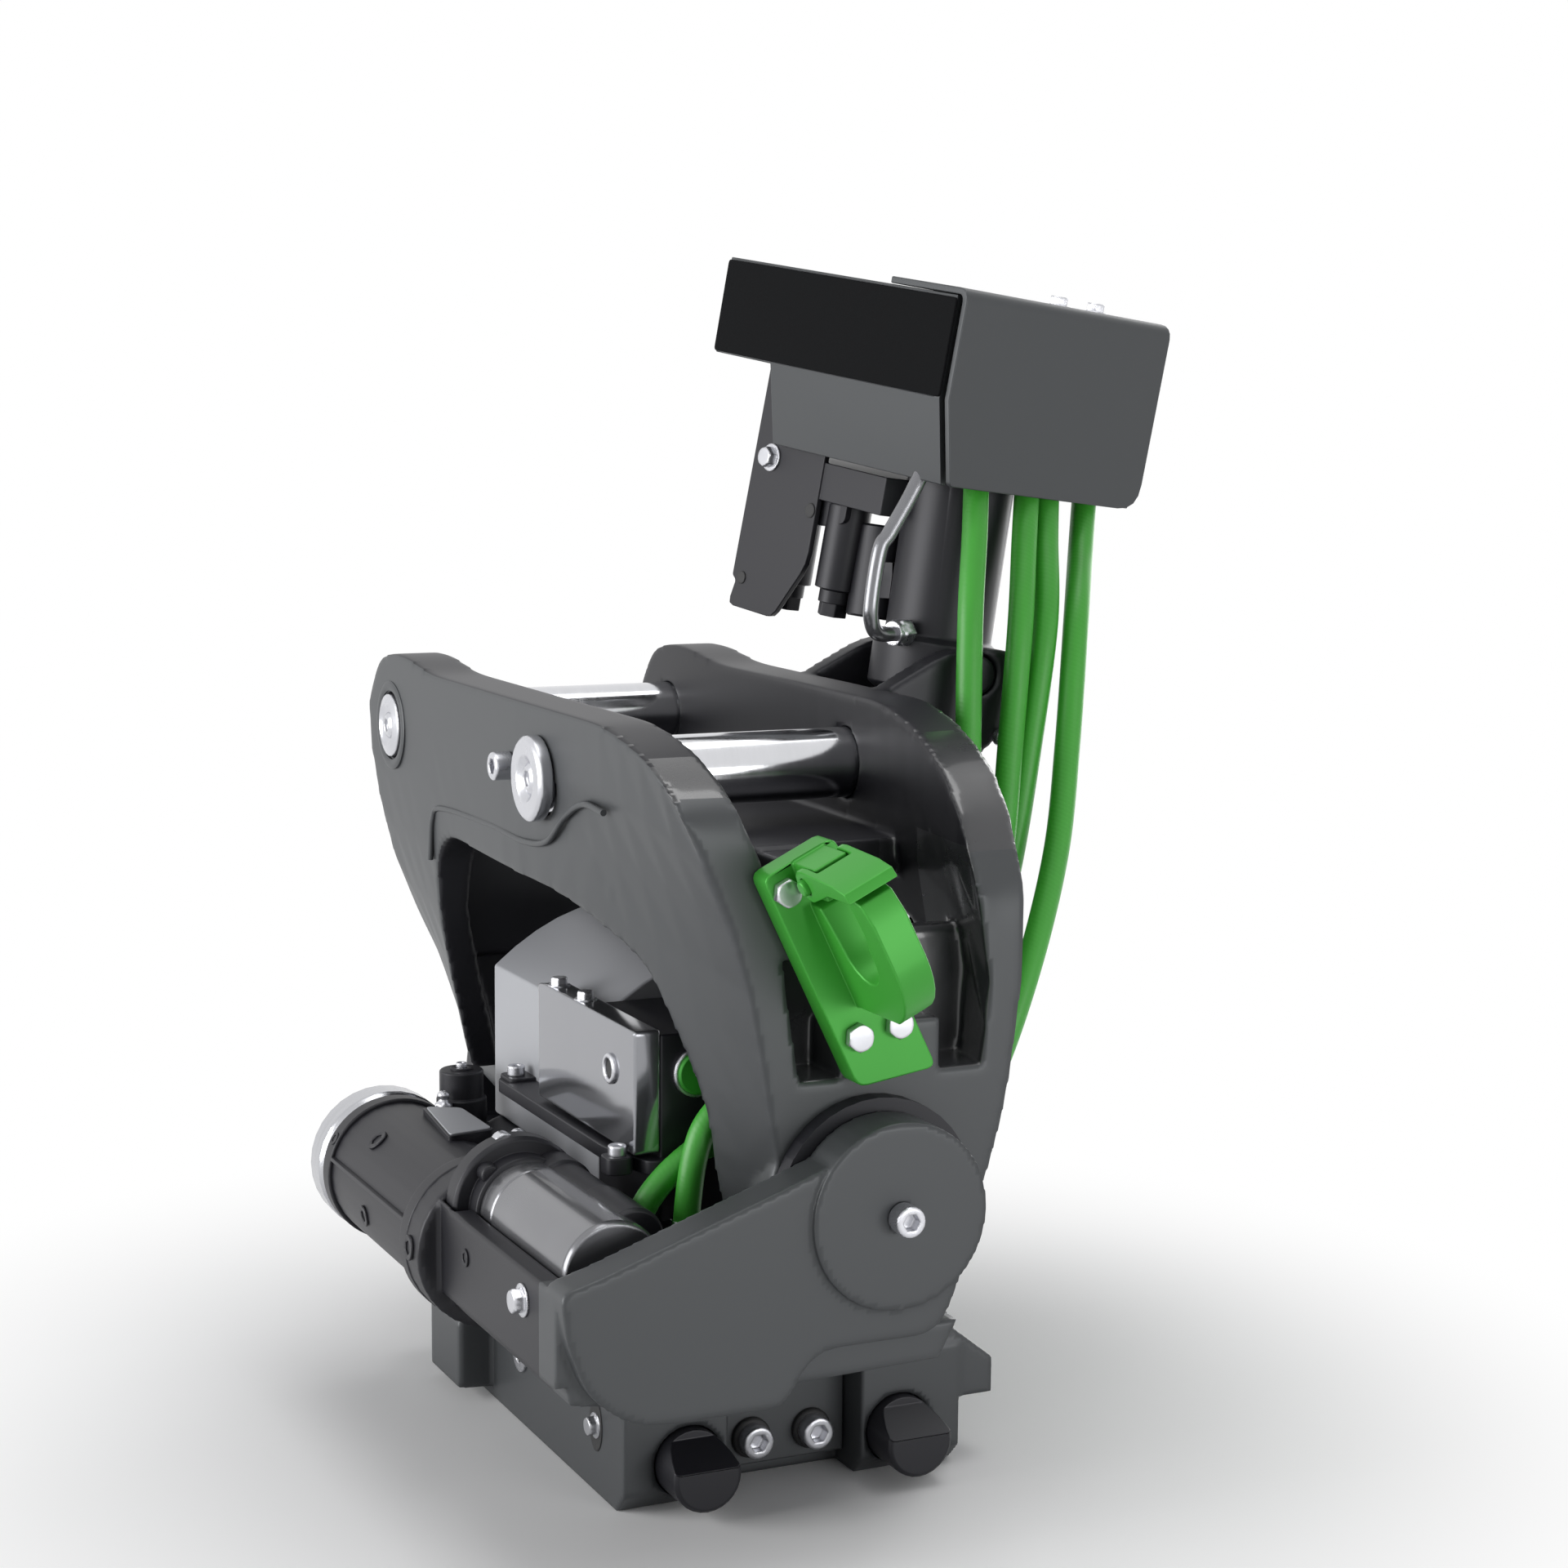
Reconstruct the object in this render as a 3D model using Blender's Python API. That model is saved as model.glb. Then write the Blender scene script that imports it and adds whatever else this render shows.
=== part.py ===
"""Excavator tilt rotator with a pin hitch, one tilt cylinder, a worm rotator and a lower coupler.

Metres, +Z up. The origin is the middle of the coupler's lower face, under the rotor's axis.
+X runs along the hitch pins, -Y points at the front, where the lifting hook is.
"""
from math import cos, pi, radians, sin

import bmesh
import bpy
from mathutils import Matrix, Vector

# Clearances
GAP = 0.0003
RUNNING = 0.0005
WELD = 1e-6

# Hitch pins and side plates
PIN_DIAMETER = 0.030
PIN_SPACING = 0.196
PIN_HEIGHT = 0.286
FRONT_PIN_Y = -0.043
PIN_END = 0.002
HITCH_HALF_WIDTH = 0.081
PLATE_THICKNESS = 0.023
LEG_THICKNESS = 0.014
HITCH_FACE_Y = 0.182
HITCH_REAR_FACE_Y = 0.160
HITCH_TOP = 0.315
HITCH_BOSS_TOP = 0.320
FRONT_LEFT_WALL = [(0.128, 0.032), (0.151, 0.037), (0.186, 0.043), (0.214, 0.048), (0.239, 0.055),
                   (0.258, 0.063), (0.271, 0.069), (0.289, 0.078), (0.330, 0.080)]
FRONT_RIGHT_WALL = [(0.128, 0.046), (0.154, 0.056), (0.185, 0.062), (0.217, 0.066), (0.275, 0.067),
                    (0.330, 0.070)]
REAR_WALL = [(0.128, 0.038), (0.144, 0.043), (0.181, 0.058), (0.214, 0.072), (0.240, 0.077), (0.277, 0.081)]
REAR_EDGE = [(0.128, 0.160), (0.181, 0.164), (0.214, 0.172), (0.240, 0.181), (0.277, 0.188), (0.330, 0.190)]
LEFT_TOP = [(-0.182, 0.290), (-0.168, 0.299), (-0.150, 0.307), (-0.110, 0.315)]
RIGHT_TOP = [(-0.182, 0.252), (-0.171, 0.274), (-0.151, 0.293), (-0.115, 0.308), (-0.075, 0.316)]
WALL_CURL = 1.6
WALL_COLUMNS = 20
WALL_ROWS = 7
FLOOR_TOP = 0.262
FLOOR_THICKNESS = 0.017
POCKET_DEPTH = 0.026
POCKET_FLOOR = 0.012
POCKET_BOTTOM = 0.186
POCKET_TOP = 0.236

# Tilt axis
TILT_HEIGHT = 0.138
TILT_SHAFT_DIAMETER = 0.040
TILT_BUSH_WALL = 0.004
HUB_RADIUS = 0.042
HUB_DEPTH = 0.034
EYE_RADIUS = 0.036
EYE_FACE_Y = 0.210
EYE_THICKNESS = 0.020
EYE_REAR_FACE_Y = 0.184
EYE_REAR_THICKNESS = 0.016
EYE_CAP = 0.004
TILT_BOLT = 0.008
EYE_STEP = 0.003

# Gearbox
HOUSING_RADIUS = 0.096
HOUSING_BOTTOM = 0.076
HOUSING_TOP = 0.118
HOUSING_BEVEL = 0.006
GEAR_CAVITY_TOP = 0.106
WORM_X = -0.110
WORM_Z = 0.101
TUBE_RADIUS = 0.030
TUBE_FRONT_Y = -0.063
TUBE_REAR_Y = 0.068
CAP_LENGTH = 0.020
WORM_TIP_RADIUS = 0.0195
WORM_ROOT_RADIUS = 0.0155
WORM_PITCH = 0.0128
WORM_HALF_LENGTH = 0.036
WORM_SHAFT_RADIUS = 0.010
GEAR_TEETH = 44
GEAR_TIP_RADIUS = 0.090
GEAR_TOOTH_DEPTH = 0.0055
GEAR_WIDTH = 0.018
GEAR_BOTTOM = 0.0855
BRACKET_X = -0.134
RAIL_THICKNESS = 0.010
MOTOR_RADIUS = 0.0205
MOTOR_FLANGE_RADIUS = 0.028
MOTOR_SEAT = 0.008
MOTOR_SHIFT = 0.006
MOTOR_RISE = 0.020

# Rotor and coupler
ROTOR_FLANGE_RADIUS = 0.100
ROTOR_FLANGE_THICKNESS = 0.012
COUPLER_TOP = 0.062
NECK_RADIUS = 0.050
NECK_TOP = 0.1120
BEARING_OUTER = 0.066
BEARING_WIDTH = 0.0075
COUPLER_HALF_WIDTH = 0.075
COUPLER_FRONT_Y = -0.120
COUPLER_REAR_Y = 0.112
WING_HALF_WIDTH = 0.091
LOCK_PIN_X = 0.047
LOCK_PIN_Z = 0.019
LOCK_PIN_RADIUS = 0.0145
LOCK_PIN_REACH = 0.020
LOCK_TRAVEL = 0.022
LOCK_ROD_RADIUS = 0.006
CAVITY_HEIGHT = 0.046
BAR_HEIGHT = 0.028

# Centre swivel and valve block
SWIVEL_RADIUS = 0.024
VALVE_HALF_WIDTH = 0.060
VALVE_FRONT_Y = -0.1205
VALVE_REAR_Y = 0.072
VALVE_BOTTOM = 0.1185
VALVE_TOP = 0.190
VALVE_COVER_TOP = 0.212

# Tilt cylinder
CYLINDER_X = 0.124
CYLINDER_Y = 0.004
CYLINDER_Z = 0.320
CYLINDER_LEAN = radians(8.9)
ROD_PIN_Z = 0.140
BARREL_RADIUS = 0.024
BORE_RADIUS = 0.020
ROD_RADIUS = 0.011
BARREL_BELOW = 0.062
BARREL_ABOVE = 0.122
BARREL_END = 0.010
COLLAR_RADIUS = 0.0285
COLLAR_HEIGHT = 0.026
COUPLING_RADIUS = 0.012
COUPLING_LENGTH = 0.012
TRUNNION_RADIUS = 0.009
TRUNNION_EAR = 0.013
ROD_EYE_RADIUS = 0.0155
ROD_EYE_THICKNESS = 0.024
ROD_PIN_RADIUS = 0.0075
PISTON_REACH = 0.184
LUG_THICKNESS = 0.016
VALVE_RADIUS = 0.0115
VALVE_LOW = 0.020
VALVE_LENGTH = 0.042

# Cover box on the cylinder's head, turned about its axis
BOX_CORNER = (0.106, -0.051, 0.4820)
BOX_LEAN = radians(7.9)
BOX_NOD = radians(5.5)
BOX_TURN = radians(13.3)
BOX_WIDTH = 0.1230
BOX_LENGTH = 0.1640
BOX_HEIGHT = 0.0800
BOX_STRIP = 0.0440
BOX_TUCK = 0.0095
BOX_SKIRT_LENGTH = 0.1220
BOX_SHEET = 0.003
BOX_FLAP = 0.048

# Lifting hook
HOOK_X = -0.014
HOOK_Z = 0.2255
HOOK_TURN = radians(-26)
HOOK_PLATE_THICKNESS = 0.012
HOOK_PLATE = [(-0.015, -0.038), (0.017, -0.048), (0.017, 0.053), (-0.015, 0.053)]
HOOK_BOLTS = [(-0.0092, 0.0440), (-0.0070, -0.0200), (0.0095, -0.0240)]
HOOK_BOLT = 0.006
HOOK_SHIFT = 0.0048
HOOK_THICKNESS = 0.014
LATCH_PIN_RADIUS = 0.0032
LATCH_PIN_PLACE = (-0.0245, 0.0465)

HOSE_RADIUS = 0.0056
MOTOR_HOSE_RADIUS = 0.0052

CHARCOAL = (0.060, 0.062, 0.066, 1.0)
BLACK = (0.012, 0.013, 0.014, 1.0)
GREEN = (0.045, 0.330, 0.030, 1.0)
STEEL = (0.560, 0.565, 0.580, 1.0)
CHROME = (0.760, 0.770, 0.790, 1.0)
BRONZE = (0.450, 0.290, 0.110, 1.0)
LIGHT_GREY = (0.380, 0.390, 0.410, 1.0)
RUBBER = (0.020, 0.020, 0.020, 1.0)

FINISHES = {
    "paint": (CHARCOAL, 0.35, 0.1),
    "black_paint": (BLACK, 0.40, 0.0),
    "green_paint": (GREEN, 0.35, 0.0),
    "steel": (STEEL, 0.30, 1.0),
    "chrome": (CHROME, 0.10, 1.0),
    "bronze": (BRONZE, 0.35, 1.0),
    "grey_paint": (LIGHT_GREY, 0.30, 0.2),
    "rubber": (RUBBER, 0.60, 0.0),
}


def clear_scene():
    for item in list(bpy.data.objects):
        bpy.data.objects.remove(item)


def make_material(name, finish):
    """A Principled material of its own for the piece called name."""
    colour, roughness, metallic = FINISHES[finish]
    material = bpy.data.materials.new(name)
    material.use_nodes = True
    shader = material.node_tree.nodes["Principled BSDF"]
    shader.inputs["Base Color"].default_value = colour
    shader.inputs["Roughness"].default_value = roughness
    shader.inputs["Metallic"].default_value = metallic
    return material


def to_object(bm, name="shape"):
    """Turn a bmesh into an object with its faces pointing outwards."""
    bmesh.ops.recalc_face_normals(bm, faces=bm.faces[:])
    mesh = bpy.data.meshes.new(name)
    bm.to_mesh(mesh)
    bm.free()
    item = bpy.data.objects.new(name, mesh)
    bpy.context.scene.collection.objects.link(item)
    return item


def lift(point, axis, along):
    """Place a flat point (u, v) at the distance along on the named axis."""
    u, v = point
    return {"X": Vector((along, u, v)), "Y": Vector((u, along, v)), "Z": Vector((u, v, along))}[axis]


def prism(points, axis, low, high):
    """Extrude a closed outline between two places on an axis."""
    bm = bmesh.new()
    ends = [[bm.verts.new(lift(p, axis, at)) for p in points] for at in (low, high)]
    count = len(points)
    for i in range(count):
        j = (i + 1) % count
        bm.faces.new((ends[0][i], ends[0][j], ends[1][j], ends[1][i]))
    bm.faces.new(ends[0][::-1])
    bm.faces.new(ends[1])
    return to_object(bm)


def box(x, y, z):
    """A block between the two values given for each axis."""
    return prism([(x[0], y[0]), (x[1], y[0]), (x[1], y[1]), (x[0], y[1])], "Z", z[0], z[1])


def rounded(points, radius, steps=4):
    """Round each corner of an outline; radius is one value or one for each corner."""
    result = []
    count = len(points)
    for i, point in enumerate(points):
        size = radius[i] if isinstance(radius, (list, tuple)) else radius
        here = Vector(point)
        to_last = Vector(points[i - 1]) - here
        to_next = Vector(points[(i + 1) % count]) - here
        reach = min(size, 0.45 * to_last.length, 0.45 * to_next.length)
        if reach <= 0:
            result.append((here.x, here.y))
            continue
        start = here + to_last.normalized() * reach
        stop = here + to_next.normalized() * reach
        for step in range(steps + 1):
            t = step / steps
            spot = start * (1 - t) ** 2 + here * 2 * t * (1 - t) + stop * t * t
            result.append((spot.x, spot.y))
    return result


def arc(centre, radius, start, stop, steps):
    """Points on an arc between two angles in degrees."""
    angles = [radians(start + (stop - start) * i / steps) for i in range(steps + 1)]
    return [(centre[0] + radius * cos(a), centre[1] + radius * sin(a)) for a in angles]


def frame_along(start, direction):
    """A matrix whose Z axis runs along direction from start."""
    return Matrix.Translation(start) @ Vector(direction).to_track_quat("Z", "Y").to_matrix().to_4x4()


def turned(profile, start, direction, segments=32):
    """Turn a closed profile of (radius, distance) about a line; radius 0 closes on the line."""
    bm = bmesh.new()
    place = frame_along(start, direction)
    rings = []
    for radius, distance in profile:
        if radius < 1e-6:
            rings.append([bm.verts.new(place @ Vector((0, 0, distance)))])
            continue
        ring = []
        for i in range(segments):
            a = 2 * pi * i / segments
            ring.append(bm.verts.new(place @ Vector((radius * cos(a), radius * sin(a), distance))))
        rings.append(ring)
    closed = profile[0][0] > 1e-6
    pairs = list(zip(rings, rings[1:] + ([rings[0]] if closed else [])))
    for a, b in pairs:
        for i in range(segments):
            j = (i + 1) % segments
            if len(a) == 1 and len(b) == 1:
                continue
            if len(a) == 1:
                bm.faces.new((a[0], b[i], b[j]))
            elif len(b) == 1:
                bm.faces.new((a[i], a[j], b[0]))
            else:
                bm.faces.new((a[i], a[j], b[j], b[i]))
    return to_object(bm)


def rod(radius, start, stop, segments=32, chamfer=0.0):
    """A solid cylinder between two points, with chamfered ends where asked."""
    start, stop = Vector(start), Vector(stop)
    length = (stop - start).length
    if chamfer:
        profile = [(0, 0), (radius - chamfer, 0), (radius, chamfer), (radius, length - chamfer),
                   (radius - chamfer, length), (0, length)]
    else:
        profile = [(0, 0), (radius, 0), (radius, length), (0, length)]
    return turned(profile, start, stop - start, segments)


def sleeve(inner, outer, start, stop, segments=32):
    """A ring or a tube between two points."""
    start, stop = Vector(start), Vector(stop)
    length = (stop - start).length
    return turned([(inner, 0), (outer, 0), (outer, length), (inner, length)], start, stop - start, segments)


def tidy(mesh):
    """Weld the points a Boolean leaves almost together and split its large faces into triangles."""
    bm = bmesh.new()
    bm.from_mesh(mesh)
    bmesh.ops.remove_doubles(bm, verts=bm.verts[:], dist=WELD)
    bmesh.ops.dissolve_degenerate(bm, dist=WELD, edges=bm.edges[:])
    bmesh.ops.triangulate(bm, faces=[face for face in bm.faces if len(face.verts) > 4])
    bm.to_mesh(mesh)
    bm.free()


def combine(target, others, operation):
    """Apply one Boolean modifier with all the other shapes to target, then remove them."""
    group = bpy.data.collections.new("operands")
    for other in others:
        group.objects.link(other)
    modifier = target.modifiers.new("shape", "BOOLEAN")
    modifier.operation = operation
    modifier.solver = "EXACT"
    modifier.use_self = False
    modifier.operand_type = "COLLECTION"
    modifier.collection = group
    bpy.context.view_layer.update()
    view = bpy.context.evaluated_depsgraph_get()
    mesh = bpy.data.meshes.new_from_object(target.evaluated_get(view))
    target.modifiers.clear()
    old = target.data
    target.data = mesh
    bpy.data.meshes.remove(old)
    for other in others:
        bpy.data.objects.remove(other)
    bpy.data.collections.remove(group)
    tidy(mesh)
    return target


def join(target, *others):
    return combine(target, others, "UNION")


def cut(target, *others):
    return combine(target, others, "DIFFERENCE")


def finish(item, name, finish_name, origin=(0, 0, 0), parent=None):
    """Name a piece, give it its material and put its origin where its body turns or slides."""
    item.name = name
    item.data.name = name
    shift = Vector(origin)
    item.data.transform(Matrix.Translation(-shift))
    item.data.materials.clear()
    item.data.materials.append(make_material(name, finish_name))
    item.data.shade_smooth()
    item.data.set_sharp_from_angle(angle=radians(32))
    item.location = shift
    if parent:
        item.parent = parent
        item.location = shift - parent.matrix_world.translation
    return item


def pivot(name, place, parent=None):
    """An empty on a joint's axis that carries a moving body."""
    empty = bpy.data.objects.new(name, None)
    bpy.context.scene.collection.objects.link(empty)
    empty.location = Vector(place)
    if parent:
        empty.parent = parent
        empty.location = Vector(place) - parent.matrix_world.translation
    bpy.context.view_layer.update()
    return empty


def hex_bolt(size, start, direction, head=0.65):
    """The hexagon head of a bolt with a chamfered top; its seat is at start, facing direction."""
    start, direction = Vector(start), Vector(direction).normalized()
    radius = size * 1.7 / 2 / cos(pi / 6)
    height = size * head
    profile = [(0, 0), (radius, 0), (radius, height * 0.85), (radius * 0.88, height), (0, height)]
    return turned(profile, start, -direction, 6)


def socket_bolt(size, length, start, direction):
    """A cap screw with a round head and a socket in it; length is its shank's."""
    start, direction = Vector(start), Vector(direction).normalized()
    radius = size * 0.75
    edge = size * 0.08
    profile = [(0, -size), (radius - edge, -size), (radius, edge - size), (radius, 0)]
    if length:
        profile += [(size / 2, 0), (size / 2, length), (0, length)]
    else:
        profile += [(0, 0)]
    head = turned(profile, start, direction, 20)
    socket = rod(size * 0.44, start - direction * size * 1.2, start - direction * size * 0.45, 6)
    return cut(head, socket)


def interpolate(stations, at):
    """A value read from a list of (place, value) stations."""
    if at <= stations[0][0]:
        return stations[0][1]
    for (a, low), (b, high) in zip(stations, stations[1:]):
        if at <= b:
            return low + (high - low) * (at - a) / (b - a)
    return stations[-1][1]


# Places worked out from the driving sizes
PIN_RADIUS = PIN_DIAMETER / 2
REAR_PIN_Y = FRONT_PIN_Y + PIN_SPACING
PLATE_INNER = HITCH_HALF_WIDTH - PLATE_THICKNESS
TILT_RADIUS = TILT_SHAFT_DIAMETER / 2
TILT_BUSH_RADIUS = TILT_RADIUS + TILT_BUSH_WALL
TILT_AXIS = Vector((0, 0, TILT_HEIGHT))
CYLINDER_PIVOT = Vector((CYLINDER_X, CYLINDER_Y, CYLINDER_Z))
CYLINDER_AXIS = Vector((sin(CYLINDER_LEAN), 0, cos(CYLINDER_LEAN)))
ROD_REACH = (CYLINDER_Z - ROD_PIN_Z) / cos(CYLINDER_LEAN)
ROD_PIN = CYLINDER_PIVOT - CYLINDER_AXIS * ROD_REACH
BOX_FRAME = (Matrix.Rotation(BOX_LEAN, 4, "Y") @ Matrix.Rotation(BOX_NOD, 4, "X")
             @ Matrix.Rotation(BOX_TURN, 4, "Z"))
ROTOR_FLANGE_TOP = COUPLER_TOP + ROTOR_FLANGE_THICKNESS
GEAR_ROOM_RADIUS = GEAR_TIP_RADIUS + 2 * RUNNING
WORM_BORE_RADIUS = WORM_TIP_RADIUS + 2 * RUNNING
LUG_FOOT = (ROD_PIN.x - ROD_EYE_RADIUS - 0.002, HOUSING_RADIUS - 0.004)


def end_width(z, side, front):
    """Half the hitch's width on one side at its front or rear end, at height z."""
    if not front:
        return interpolate(REAR_WALL, z)
    return interpolate(FRONT_LEFT_WALL if side < 0 else FRONT_RIGHT_WALL, z)


def wall_x(y, z, side):
    """The outer face of a side wall, which curls in towards both ends."""
    reach = HITCH_FACE_Y if y < 0 else interpolate(REAR_EDGE, z)
    share = min(abs(y) / reach, 1.0) ** WALL_CURL
    return HITCH_HALF_WIDTH - (HITCH_HALF_WIDTH - end_width(z, side, y < 0)) * share


def wall_top(y, side):
    """The top edge of the side plates, with a raised boss over the rear pin."""
    outline = list(LEFT_TOP if side < 0 else RIGHT_TOP)
    outline += [(-0.060, HITCH_TOP), (REAR_PIN_Y - 0.042, HITCH_TOP), (REAR_PIN_Y - 0.034, HITCH_BOSS_TOP),
                (REAR_PIN_Y + 0.012, HITCH_BOSS_TOP), (REAR_PIN_Y + 0.028, HITCH_TOP - 0.005),
                (REAR_EDGE[-1][1], HITCH_TOP - 0.020)]
    return interpolate(outline, y)


def wall_thickness(z):
    return interpolate([(0.215, LEG_THICKNESS), (0.262, PLATE_THICKNESS)], z)


def side_wall(side):
    """One curved side plate of the hitch as a closed solid."""
    bm = bmesh.new()
    bottom = REAR_WALL[0][0]
    last = REAR_EDGE[-1][1]
    grids = []
    for layer in (0, 1):
        grid = []
        for i in range(WALL_COLUMNS + 1):
            share = i / WALL_COLUMNS
            top = wall_top(-HITCH_FACE_Y + (last + HITCH_FACE_Y) * share, side)
            column = []
            for j in range(WALL_ROWS + 1):
                z = bottom + (top - bottom) * j / WALL_ROWS
                y = -HITCH_FACE_Y + (interpolate(REAR_EDGE, z) + HITCH_FACE_Y) * share
                x = wall_x(y, z, side) - layer * wall_thickness(z)
                column.append(bm.verts.new((side * x, y, z)))
            grid.append(column)
        grids.append(grid)
    outer, inner = grids
    for i in range(WALL_COLUMNS):
        for j in range(WALL_ROWS):
            for grid in grids:
                bm.faces.new((grid[i][j], grid[i + 1][j], grid[i + 1][j + 1], grid[i][j + 1]))
        for j in (0, WALL_ROWS):
            bm.faces.new((outer[i][j], outer[i + 1][j], inner[i + 1][j], inner[i][j]))
    for j in range(WALL_ROWS):
        for i in (0, WALL_COLUMNS):
            bm.faces.new((outer[i][j], outer[i][j + 1], inner[i][j + 1], inner[i][j]))
    return to_object(bm)


def end_outline(inset, low, high, front, steps=7):
    """The outline of a hitch end wall between two heights, inside the side walls."""
    levels = [low + (high - low) * i / steps for i in range(steps + 1)]
    right = [(end_width(z, 1, front) - inset, z) for z in levels]
    return right + [(-end_width(z, -1, front) + inset, z) for z in reversed(levels)]


def end_wall(side):
    """A front or rear wall of the hitch: its hub for the tilt shaft and its pocket."""
    front = side < 0
    face = HITCH_FACE_Y if front else HITCH_REAR_FACE_Y
    outer_y = side * face
    hub_y = side * (face - HUB_DEPTH)
    floor_y = side * (face - POCKET_DEPTH)
    back_y = side * (face - POCKET_DEPTH - POCKET_FLOOR)
    hub = rod(HUB_RADIUS, (0, outer_y, TILT_HEIGHT), (0, hub_y, TILT_HEIGHT), 40)
    lower = prism(end_outline(0.001, TILT_HEIGHT, POCKET_BOTTOM, front), "Y", outer_y, hub_y)
    upper = prism(end_outline(0.002, POCKET_BOTTOM - 0.006, POCKET_TOP, front), "Y", floor_y, back_y)
    return join(hub, lower, upper)


def window_cutter():
    """The arch through both side plates, between the front and the rear legs."""
    front = -(HITCH_FACE_Y - HUB_DEPTH)
    rear = HITCH_REAR_FACE_Y - HUB_DEPTH
    low = REAR_WALL[0][0] - 0.03
    outline = [
        (front - 0.001, low), (front + 0.001, 0.172), (front + 0.015, 0.199), (front + 0.030, 0.224),
        (-0.062, FLOOR_TOP - FLOOR_THICKNESS - 0.004), (0.076, FLOOR_TOP - FLOOR_THICKNESS + 0.001),
        (0.093, 0.236), (0.100, 0.200), (0.110, 0.160), (rear - 0.0005, low),
    ]
    radii = [0, 0.02, 0.02, 0.02, 0.03, 0.02, 0.012, 0.02, 0.02, 0]
    reach = HITCH_HALF_WIDTH + 0.02
    return prism(rounded(outline, radii, 3), "X", -reach, reach)


def trunnion_ears():
    """The bracket on the right plate whose two ears hold the cylinder's trunnions."""
    near_x = PLATE_INNER + PLATE_THICKNESS * 0.55
    far_x = CYLINDER_X + COLLAR_RADIUS * 0.9
    top = CYLINDER_Z + COLLAR_HEIGHT * 0.42
    low = CYLINDER_Z - 0.050
    outline = rounded([(near_x, low - 0.010), (near_x, HITCH_TOP - 0.004), (far_x - 0.040, top),
                       (far_x - 0.006, top), (far_x, CYLINDER_Z - 0.012), (far_x - 0.026, low + 0.012)],
                      [0, 0, 0.01, 0.012, 0.012, 0.02], 3)
    ears = []
    inside = COLLAR_RADIUS + 2 * RUNNING
    for side in (-1, 1):
        near = CYLINDER_Y + side * inside
        far = CYLINDER_Y + side * (inside + TRUNNION_EAR)
        ears.append(prism(outline, "Y", min(near, far), max(near, far)))
    return ears


def make_hitch(root):
    """The hitch casting that hangs on the excavator's pins."""
    body = side_wall(-1)
    join(body, side_wall(1), end_wall(-1), end_wall(1))
    floor = box((-HITCH_HALF_WIDTH + 0.008, HITCH_HALF_WIDTH - 0.008), (-0.100, 0.090),
                (FLOOR_TOP - FLOOR_THICKNESS, FLOOR_TOP))
    join(body, floor)
    rib_height = (POCKET_TOP - 0.022, FLOOR_TOP - 0.002)
    for side in (-1, 1):
        face = HITCH_FACE_Y if side < 0 else HITCH_REAR_FACE_Y
        reach = face - POCKET_DEPTH - POCKET_FLOOR / 2
        join(body, box((-0.010, 0.010), sorted((side * 0.080, side * reach)), rib_height))
    cut(body, window_cutter())
    pad_y = (-HITCH_FACE_Y, -HITCH_FACE_Y + POCKET_DEPTH + 0.004)
    hook_bottom_pad = box((-0.012, 0.030), pad_y, (0.181, 0.206))
    hook_top_pad = box((-0.054, -0.020), pad_y, (0.2325, 0.262))
    web = box((-0.054, -0.020), (-HITCH_FACE_Y + POCKET_DEPTH - 0.004, -0.098), (0.2325, 0.254))
    join(body, hook_bottom_pad, hook_top_pad, web)
    join(body, *trunnion_ears())
    for y in (FRONT_PIN_Y, REAR_PIN_Y):
        reach = HITCH_HALF_WIDTH + 0.01
        cut(body, rod(PIN_RADIUS + GAP, (-reach, y, PIN_HEIGHT), (reach, y, PIN_HEIGHT), 32))
    reach = HITCH_FACE_Y + 0.01
    cut(body, rod(TILT_BUSH_RADIUS + GAP, (0, -reach, TILT_HEIGHT), (0, reach, TILT_HEIGHT), 32))
    flange_seat = HITCH_REAR_FACE_Y + GAP / 3
    cut(body, rod(HUB_RADIUS + RUNNING, (0, flange_seat, TILT_HEIGHT), (0, reach, TILT_HEIGHT), 32))
    reach = COLLAR_RADIUS + TRUNNION_EAR + 0.01
    cut(body, rod(TRUNNION_RADIUS + RUNNING, CYLINDER_PIVOT + Vector((0, -reach, 0)),
                  CYLINDER_PIVOT + Vector((0, reach, 0)), 20))
    finish(body, "hitch_casting", "paint", parent=root)


def make_pins(root):
    """Both hitch pins with the discs and the screw that keep them in."""
    for name, y in (("front", FRONT_PIN_Y), ("rear", REAR_PIN_Y)):
        reach = HITCH_HALF_WIDTH - PIN_END
        pin = rod(PIN_RADIUS, (-reach, y, PIN_HEIGHT), (reach, y, PIN_HEIGHT), 36, 0.0015)
        finish(pin, name + "_pin", "chrome", parent=root)
    face = -(HITCH_HALF_WIDTH + GAP)
    disc = turned([(0, 0), (0.0175, 0), (0.0175, 0.0048), (0.0160, 0.0060), (0.0098, 0.0060),
                   (0.0066, 0.0030), (0, 0.0030)], (face, FRONT_PIN_Y, PIN_HEIGHT), (-1, 0, 0), 28)
    finish(disc, "front_pin_disc", "steel", parent=root)
    keyed = turned([(0, 0), (0.0145, 0), (0.0145, 0.0030), (0.0098, 0.0045), (0.0060, 0.0020), (0, 0.0020)],
                   (-(HITCH_HALF_WIDTH - PIN_END + GAP), REAR_PIN_Y, PIN_HEIGHT), (-1, 0, 0), 24)
    finish(keyed, "rear_pin_disc", "steel", parent=root)
    lock = socket_bolt(0.008, 0.0, (face, FRONT_PIN_Y + 0.034, PIN_HEIGHT + 0.001), (1, 0, 0))
    finish(lock, "front_pin_lock_screw", "steel", parent=root)


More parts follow.
